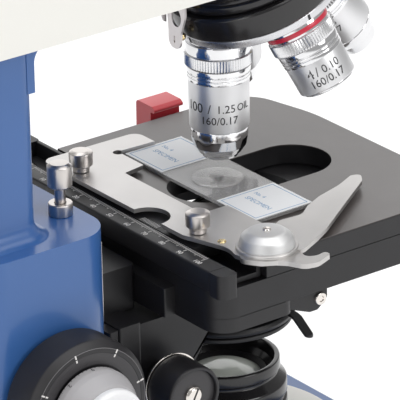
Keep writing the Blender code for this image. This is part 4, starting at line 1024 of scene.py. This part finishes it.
# ------------------------------------------------------------------------------------------------ nosepiece
@dataclass
class Nosepiece:
    """The tilted revolving nosepiece with its click spring and four objectives."""

    reach: float = 56.6      # from the tilt's apex to the middle of the plated disc's slanted face

    def build(self, bench: Bench) -> None:
        """Makes the nosepiece's pieces."""
        mount = [(24.0, -10.0), (28.2, -13, 2), (28.2, -31.0, 0.6), (27.2, -31.8, 0.3), (27.2, -33.0, 0.3),
                 (28.4, -33.6, 0.4),
                 (28.4, -36.5, 0.4), (12, -36.5), (12, -10)]
        bench.place("turret_mount", turned(mount, 128, True).at(TURRET), GLOSS_BLACK, "stand", "nosepiece_mount")
        grip = [(29.9, -36.8, 0.4), (30.6, -37.6, 0.5), (30.6, -45.6, 0.4), (30.1, -46.4, 0.3), (14, -46.4),
                (14, -36.8)]
        bench.place("turret_grip", turned(grip, 160, True).at(TURRET), GLOSS_BLACK, "turret", "turret_ring")
        tilt = math.radians(TURRET_TILT)
        slope = math.tan(tilt)
        foot_r, foot_z = self.reach * math.sin(tilt), -self.reach * math.cos(tilt)
        disc = [(0, -46.2), (29.6, -46.2), (30.0, -46.6, 0.3), (30.0, foot_z + (30 - foot_r) * slope, 0.5),
                (5, foot_z + (5 - foot_r) * slope, 2), (0, foot_z + (5 - foot_r) * slope)]
        plated = Finish("plated_disc", "steel", (0.66, 0.66, 0.68), 0.27, 1.0, grain=Grain.LATHE, relief=0.08,
                        scale=2200,
                        axis=(0.0, math.sin(tilt), math.cos(tilt)))
        bench.place("turret_plate", turned(disc, 160).at(TURRET), plated, "turret", "turret_disc")
        notch = together(block(29.6, -0.5, -48.9, 30.06, 0.5, -46.8).at(TURRET, turn("Z", a))
                         for a in (90, 180, 270, 360))
        bench.place("turret_clicks", notch, ENGRAVING, "turret")
        centre = [(0, -60.2), (3.4, -60.0, 0.8), (4.4, -58.8, 0.5), (4.4, -56.0), (0, -56.0)]
        bench.place("turret_centre_screw", turned(centre[::-1], 64).at(TURRET), NICKEL, "turret")
        for kind in Objectives:
            self.objective(bench, kind)
        self.click_spring(bench)

    def objective(self, bench: Bench, kind: Objectives) -> None:
        """Makes one objective: thread flange, knurled ring, colour band, marked barrel and nose."""
        _, end, node, _ = kind.value
        place = kind.axis
        axis = tuple(place[:3, 2].tolist())
        chrome = replace(CHROME, name=f"chrome_{node}", axis=axis)
        satin = replace(SATIN_BARREL, name=f"satin_barrel_{node}", axis=axis)
        knurled = replace(KNURLED_CHROME, name=f"knurled_{node}", axis=axis)
        lift = 1.6 if kind is Objectives.X4 else 0.0
        flange = [(0, -0.6), (10.6, -0.6), (10.6, -2.2, 0.1), (11.4, -2.5, 0.25),
                  (11.4, -6.3, 0.25), (10.8, -6.6), (0, -6.6)]
        bench.place(f"flange_{node}", turned(raised(flange, lift), 128, radius=0.1).at(place), chrome, "turret")
        grip = [(11.3, -6.3, 0.1), (11.9, -6.7, 0.15), (11.9, -10.7, 0.15), (11.2, -11.5, 0.2),
                (0, -11.5), (0, -6.3)]
        made = turned(raised(grip, lift), 288, wave=knurl(72, 0.4, -10.75 + lift, -6.7 + lift)).at(place)
        bench.place(f"knurl_{node}", made, knurled, "turret")
        neck = [(0, -11.3), (11.1, -11.3, 0.1), (11.1, -13.4, 0.1), (10.85, -13.5),
                (10.85, -13.8), (11.0, -13.9, 0.05), (11.0, -14.6, 0.05), (10.85, -14.7),
                (10.85, -15.0), (10.95, -15.1, 0.05), (10.95, -16.4, 0.1), (0, -16.4)]
        bench.place(f"neck_{node}", turned(raised(neck, lift), 128, radius=0.04).at(place), chrome, "turret")
        barrel = [(0, -16.2 + lift), (10.66, -16.4 + lift, 0.15), (10.45, -end, 0.5), (9.4, -end - 0.1),
                  (0, -end - 0.1)]
        bench.place(f"barrel_{node}", turned(barrel, 128).at(place), satin, "turret", node)
        nose = {
            Objectives.X100: [(0, -34.0), (10.1, -34.2, 0.2), (10.0, -37.6, 1), (9.3, -41.1, 0.8), (7.6, -43.6, 0.8),
                              (6.6, -44.4, 0.3),
                              (6.2, -45.3, 0.3), (5.4, -45.7, 0.3), (4.6, -45.5, 0.2), (3.6, -44.9), (0, -44.7)],
            Objectives.X4: [(0, -25.4), (9.3, -25.5), (9.3, -26.6, 0.3), (8.3, -26.6, 0.3), (7.6, -25.7), (0, -25.5)],
            Objectives.X10: [(0, -29.8), (10.5, -30.0, 0.4), (8.4, -35.4, 0.2), (8.0, -35.6, 0.2), (7.3, -39.6, 0.6),
                             (6.4, -40.2, 0.4),
                             (5.2, -39.6), (0, -39.4)],
            Objectives.X40: [(0, -35.8), (9.4, -36.0, 0.4), (8.4, -39.5, 1), (8.2, -44.9, 0.8), (4.4, -45.9, 0.4),
                             (3.4, -45.4), (0, -45.2)],
        }[kind]
        bench.place(f"nose_{node}", turned(nose, 128).at(place), chrome, "turret")
        glass_radius = {Objectives.X100: 3.4, Objectives.X4: 7.4, Objectives.X10: 4.4, Objectives.X40: 3.2}[kind]
        last = nose[-1][1]
        front = [(0, last + 0.1), (glass_radius, last + 0.1), (glass_radius * 0.7, last - 0.25, 0.5), (0, last - 0.35)]
        bench.place(f"front_lens_{node}", turned(front, 48, radius=0.05).at(place), LENS, "turret")
        self.bands(bench, kind, place)
        facing = {Objectives.X100: 143.5, Objectives.X4: 68.0, Objectives.X10: 300.0, Objectives.X40: 90.0}[kind]
        self.markings(bench, kind, place, facing)

    def bands(self, bench: Bench, kind: Objectives, place: Array) -> None:
        """Makes the colour ring that tells the magnification, above the knurling or on the barrel."""
        colours = {Objectives.X4: (0.55, 0.02, 0.05), Objectives.X10: (0.75, 0.55, 0.05),
                   Objectives.X40: (0.05, 0.25, 0.6)}
        if kind not in colours:
            return
        band = Finish(f"band_{kind.value[2]}", "red_plastic" if kind is Objectives.X4 else "blue_paint", colours[kind],
                      0.3,
                      relief=0.05, scale=3000, coat=0.3)
        top = -2.3 if kind is Objectives.X4 else -3.4
        ring = [(11.5, top, 0.15), (11.5, top - 1.7, 0.15), (10.4, top - 1.7), (10.4, top)]
        bench.place(f"colour_band_{kind.value[2]}", turned(ring, 128, True, radius=0.05).at(place), band, "turret")

    def markings(self, bench: Bench, kind: Objectives, place: Array, facing: float) -> None:
        """Makes the power and aperture figures round the barrel."""
        radius, words = 10.6, kind.value[3]
        power, rest = words[0].split(" / ")
        if kind is Objectives.X100:
            first, second = -25.0, -29.3
            aperture, medium = rest.split(" ")
            spots = ((power, 5.0, -52.0), ("/", 4.8, -19.0), (aperture, 4.1, 13.0), (medium, 3.8, 51.0))
        else:
            first, second = -18.6, -22.4
            spots = ((power, 5.0, -27.0), ("/", 4.8, -13.0), (rest, 4.1, 16.0))
        lines = wrapped(lettering(words[1].replace(" ", ""), 3.9), radius, facing, second)
        for text, size, degrees in spots:
            lines = lines + wrapped(lettering(text, size), radius, facing + degrees, first)
        bench.place(f"figures_{kind.value[2]}", lines.at(place), ENGRAVING, "turret")

    def click_spring(self, bench: Bench) -> None:
        """Makes the click-stop spring: a hanging tapered plate with an oval hole and slot, a bent flange and screws."""
        rim = soften([(-3.4, 53.9, 3.3), (3.4, 53.9, 3.3), (3.4, 60, 6), (3.9, 66.5, 5), (3.9, 76), (-6.2, 76),
                      (-6.2, 66.5, 5),
                      (-3.6, 60, 6)], True, 8)
        hole, slot = oval(-1.2, 65.4, 2.7, 3.3, 40), oval(0, 57.2, 0.45, 1.3, 20)
        spring = plate(rim, -17.0, -16.2, [hole, slot]).at(UPRIGHT)
        bench.place("click_plate", spring, STEEL, "stand", "click_spring", bevel=0.15, segments=2)
        flange = soften([(16.6, 62.0), (16.6, 76), (20.6, 76), (20.2, 70, 4), (17.6, 62.4, 1)], True)
        bench.place("click_flange", plate(flange, 4.9, 5.7).at(SIDEWAYS), STEEL, "stand", bevel=0.12, segments=2)
        polar = np.linspace(0.01, math.pi - 0.01, 20)
        ball = 1.5 * np.stack([np.sin(polar), np.cos(polar)], -1)
        bench.place("click_ball", revolve(ball, 40).at(shift(-1.2, 14.8, 58.0)), BRASS, "stand")
        screw = [(0, 1.4), (1.2, 1.4, 0.3), (1.6, 1.0, 0.2), (1.6, 0), (0.8, 0), (0.8, -3), (0, -3)]
        screws = together(turned(screw, 40).at(shift(*spot), LIES_ALONG_MINUS_X) for spot in ((-4.6, 15.9, 71.0),
                                                                                              (-5.4, 13.6, 72.6)))
        bench.place("click_screws", screws, BRASS, "stand")


# ------------------------------------------------------------------------------------------------ head
@dataclass
class Head:
    """The viewing head: prism housing, two hinged tubes, diopter ring and eyepieces."""

    arm: float = 36.0
    droop: float = 25.0

    def build(self, bench: Bench) -> None:
        """Makes the head's pieces."""
        side = soften([(-36, -21, 4), (-20.6, 18.0, 6), (-6, 34, 16), (22, 34, 18), (32, 6, 14), (30, -21, 4)], True,
                      12)
        body = plate(side, -29, 29).at(HEAD, SIDEWAYS)
        bench.place("prism_housing", body, IVORY, "head", "head_body", bevel=5.0, sharp=50, segments=6)
        collar = [(0, -20), (24.0, -20), (24.0, -31.1, 0.5), (0, -31.1)]
        bench.place("head_collar", turned(collar, 128).at(HEAD), BLACK, "head")
        hub = [(0, 41.3), (11.8, 41.3, 1.5), (13.3, 39.8, 0.8), (13.3, 37.3), (4.6, 37.3), (4.6, 25.6), (13.3, 25.6),
               (13.3, 15), (0, 15)]
        bench.place("hinge_hub", turned(hub, 96).at(EYE), BLACK, "head")
        front = soften([(-25, -20, 8), (25, -20, 8), (25, 14, 8), (-25, 14, 8)], True, 8)
        bench.place("head_front_plate", plate(front, 14, 21.3).at(EYE), IVORY, "head", bevel=1.5)
        for name, sign in (("left", -1), ("right", 1)):
            self.wing(bench, name, sign)

    def wing(self, bench: Bench, name: str, sign: int) -> None:
        """Makes one hinged tube with its eyepiece."""
        angle = math.radians(-self.droop) if sign > 0 else math.pi + math.radians(self.droop)
        cx, cy = self.arm * math.cos(angle), self.arm * math.sin(angle)
        low, high = (26.1, 31.1) if sign < 0 else (31.7, 36.7)
        seat = EYE @ shift(cx, cy)
        barrel = [(0, 22.0), (17.2, 22.0, 1.2), (18.2, 23.0, 1.0), (18.2, 44.0, 2.0), (16.0, 46.2, 1.2), (15.6, 48),
                  (15.6, 66, 0.5),
                  (12.0, 66), (12.0, 52), (0, 52)]
        bench.place(f"tube_{name}", turned(barrel[::-1], 128).at(seat), IVORY, f"wing_{name}", f"wing_{name}")
        tongue = np.vstack([arc(0, 0, 13.2, 90, 270, 24), [[self.arm, -10.5], [self.arm, 10.5]]])
        hole = arc(0, 0, 4.9, 0, 352, 32)
        link = plate(tongue, low, high, [hole]).at(EYE, turn("Z", math.degrees(angle)))
        bench.place(f"hinge_link_{name}", link, IVORY, f"wing_{name}", bevel=0.8)
        step = 75.8 if sign < 0 else 66.4
        cup = [(0, 112.6), (11.4, 113.0, 0.4), (12.2, 116.0, 0.8), (15.8, 116.5, 0.8), (17.2, 114.6, 1.2),
               (16.3, 107, 3), (15.9, 93.0, 0.5)]
        tube = [(15.2, 92.4, 0.3), (15.2, 90.2, 0.3), (16.0, 89.4, 0.5), (16.0, 80.2, 0.5), (15.2, 79.4, 0.3),
                (15.2, step), (11.5, step),
                (11.5, 55), (0, 55)]
        bench.place(f"eyepiece_tube_{name}", turned([(0, 92.6), (15.2, 92.6)] + tube, 128).at(seat), GLOSS_BLACK,
                    f"wing_{name}",
                    f"eyepiece_{name}")
        bench.place(f"eyecup_{name}", turned(cup + [(15.9, 92.2), (0, 92.2)], 128).at(seat), RUBBER, f"wing_{name}")
        lens = [(0, 113.9), (6.0, 113.6, 4), (10.8, 112.9), (0, 112.5)]
        bench.place(f"eye_lens_{name}", turned(lens, 64, radius=0.1).at(seat), LENS, f"wing_{name}")
        band = wrapped(lettering("10x / 18", 3.4, 0.04), 16.02, 90, 84.8)
        bench.place(f"eyepiece_figures_{name}", band.at(seat), MARKING, f"wing_{name}")
        if sign < 0:
            ring = [(16.6, 75.4, 0.4), (16.9, 75.0, 0.3), (16.9, 66.9, 0.3), (16.6, 66.4, 0.4), (12.0, 66.4),
                    (12.0, 75.4)]
            made = turned(ring, 240, True, knurl(60, 0.4, 69.2, 74.6)).at(seat)
            bench.place("diopter_grip", made, KNOB, "diopter", "diopter_ring")
            ticks = together(block(16.88, -0.12, 67.2, 16.98, 0.12, 68.8).at(turn("Z", a))
                             for a in range(60, 121, 12))
            bench.place("diopter_scale", ticks.at(seat), MARKING, "diopter")
        bench.place(f"tube_index_{name}", block(-0.15, 15.5, 62.5, 0.15, 15.7, 65.6).at(seat),
                    ENGRAVING, f"wing_{name}")


# ------------------------------------------------------------------------------------------------ studio
@dataclass
class Studio:
    """Pale floor, soft lights and the camera."""

    floor_size: float = 12.0
    focal_mm: float = 403.71
    yaw: float = -0.63343
    pitch: float = 0.41036
    roll: float = -0.02053
    eye: tuple[float, float, float] = (-1148.0, 850.7, 614.7)

    def build(self, bench: Bench) -> None:
        """Makes the floor, world, lamps and camera."""
        self.floor()
        self.world()
        aim = (0.0, 0.0, 0.15)
        self.light("overhead", (-0.2, -0.1, 2.2), aim, 2.6, 38.0)
        self.light("key", (-1.5, -0.5, 1.0), aim, 0.8, 9.0)
        self.light("fill", (-0.7, 1.5, 0.8), aim, 0.6, 3.5)
        self.light("backdrop", (1.25, -0.92, 0.8), aim, 1.6, 8.5)
        self.camera(bench)

    def floor(self) -> None:
        """Makes a pale floor with a faint, slow unevenness."""
        half = self.floor_size / 2
        mesh = bpy.data.meshes.new("floor")
        mesh.from_pydata([(-half, -half, 0), (half, -half, 0), (half, half, 0), (-half, half, 0)], [], [(0, 1, 2, 3)])
        pale = Finish("pale_floor", "white_paint", (0.98, 0.98, 0.98), 0.8, relief=0.02, scale=400, mottle=0.005)
        mesh.materials.append(pale.material())
        made = bpy.data.objects.new("floor", mesh)
        bpy.context.scene.collection.objects.link(made)

    def world(self) -> None:
        """Fills the surroundings with even white light."""
        world = bpy.data.worlds.new("studio")
        world.use_nodes = True
        shade = world.node_tree.nodes["Background"]
        shade.inputs["Color"].default_value = (1.0, 1.0, 1.0, 1.0)
        shade.inputs["Strength"].default_value = 0.4
        bpy.context.scene.world = world
        bpy.context.scene.view_settings.view_transform = "Standard"

    def light(self, name: str, place: tuple[float, float, float], aim: tuple[float, float, float], size: float,
              power: float) -> None:
        """Makes one square soft lamp that looks at a point."""
        lamp = bpy.data.lights.new(name, "AREA")
        lamp.shape, lamp.size, lamp.energy = "SQUARE", size, power
        made = bpy.data.objects.new(name, lamp)
        back = np.array(place) - np.array(aim)
        back = back / np.linalg.norm(back)
        side = np.cross((0.0, 0.0, 1.0), back)
        side = side / np.linalg.norm(side)
        self.pose(made, side, np.cross(back, side), back, np.array(place))
        bpy.context.scene.collection.objects.link(made)

    @staticmethod
    def pose(target: bpy.types.Object, side: Array, up: Array, back: Array, place: Array) -> None:
        """Points an object whose own axes are side, up and back."""
        matrix = np.eye(4)
        matrix[:3, 0], matrix[:3, 1], matrix[:3, 2], matrix[:3, 3] = side, up, back, place
        target.matrix_world = Matrix(matrix.tolist())

    def camera(self, bench: Bench) -> None:
        """Makes the camera, level but for a slight roll, with a long lens."""
        lens = bpy.data.cameras.new("camera")
        lens.sensor_width, lens.lens, lens.clip_end = 36.0, self.focal_mm, 50.0
        made = bpy.data.objects.new("camera", lens)
        ahead = np.array([math.cos(self.yaw) * math.cos(self.pitch), math.sin(self.yaw) * math.cos(self.pitch),
                          -math.sin(self.pitch)])
        right = np.cross(ahead, (0.0, 0.0, 1.0))
        right = right / np.linalg.norm(right)
        up = np.cross(right, ahead)
        c, s = math.cos(self.roll), math.sin(self.roll)
        right, up = c * right + s * up, -s * right + c * up
        self.pose(made, right, up, -ahead, np.array(self.eye) * MM + bench.origin)
        bpy.context.scene.collection.objects.link(made)
        bpy.context.scene.camera = made


def main() -> None:
    """Loads the working frame, builds every sub-assembly in order and logs the number of pieces."""
    logging.basicConfig(level=logging.INFO, format="%(name)s: %(message)s")
    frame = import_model()
    bench = Bench(frame["nodes"])
    for assembly in (Studio(), Base(), Arm(), FocusDrive(), Stage(), SlideHolder(), Condenser(), Nosepiece(), Head()):
        LOG.info("building %s", type(assembly).__name__)
        assembly.build(bench)
    LOG.info("%d pieces", bench.count)


if __name__ == "__main__":
    main()
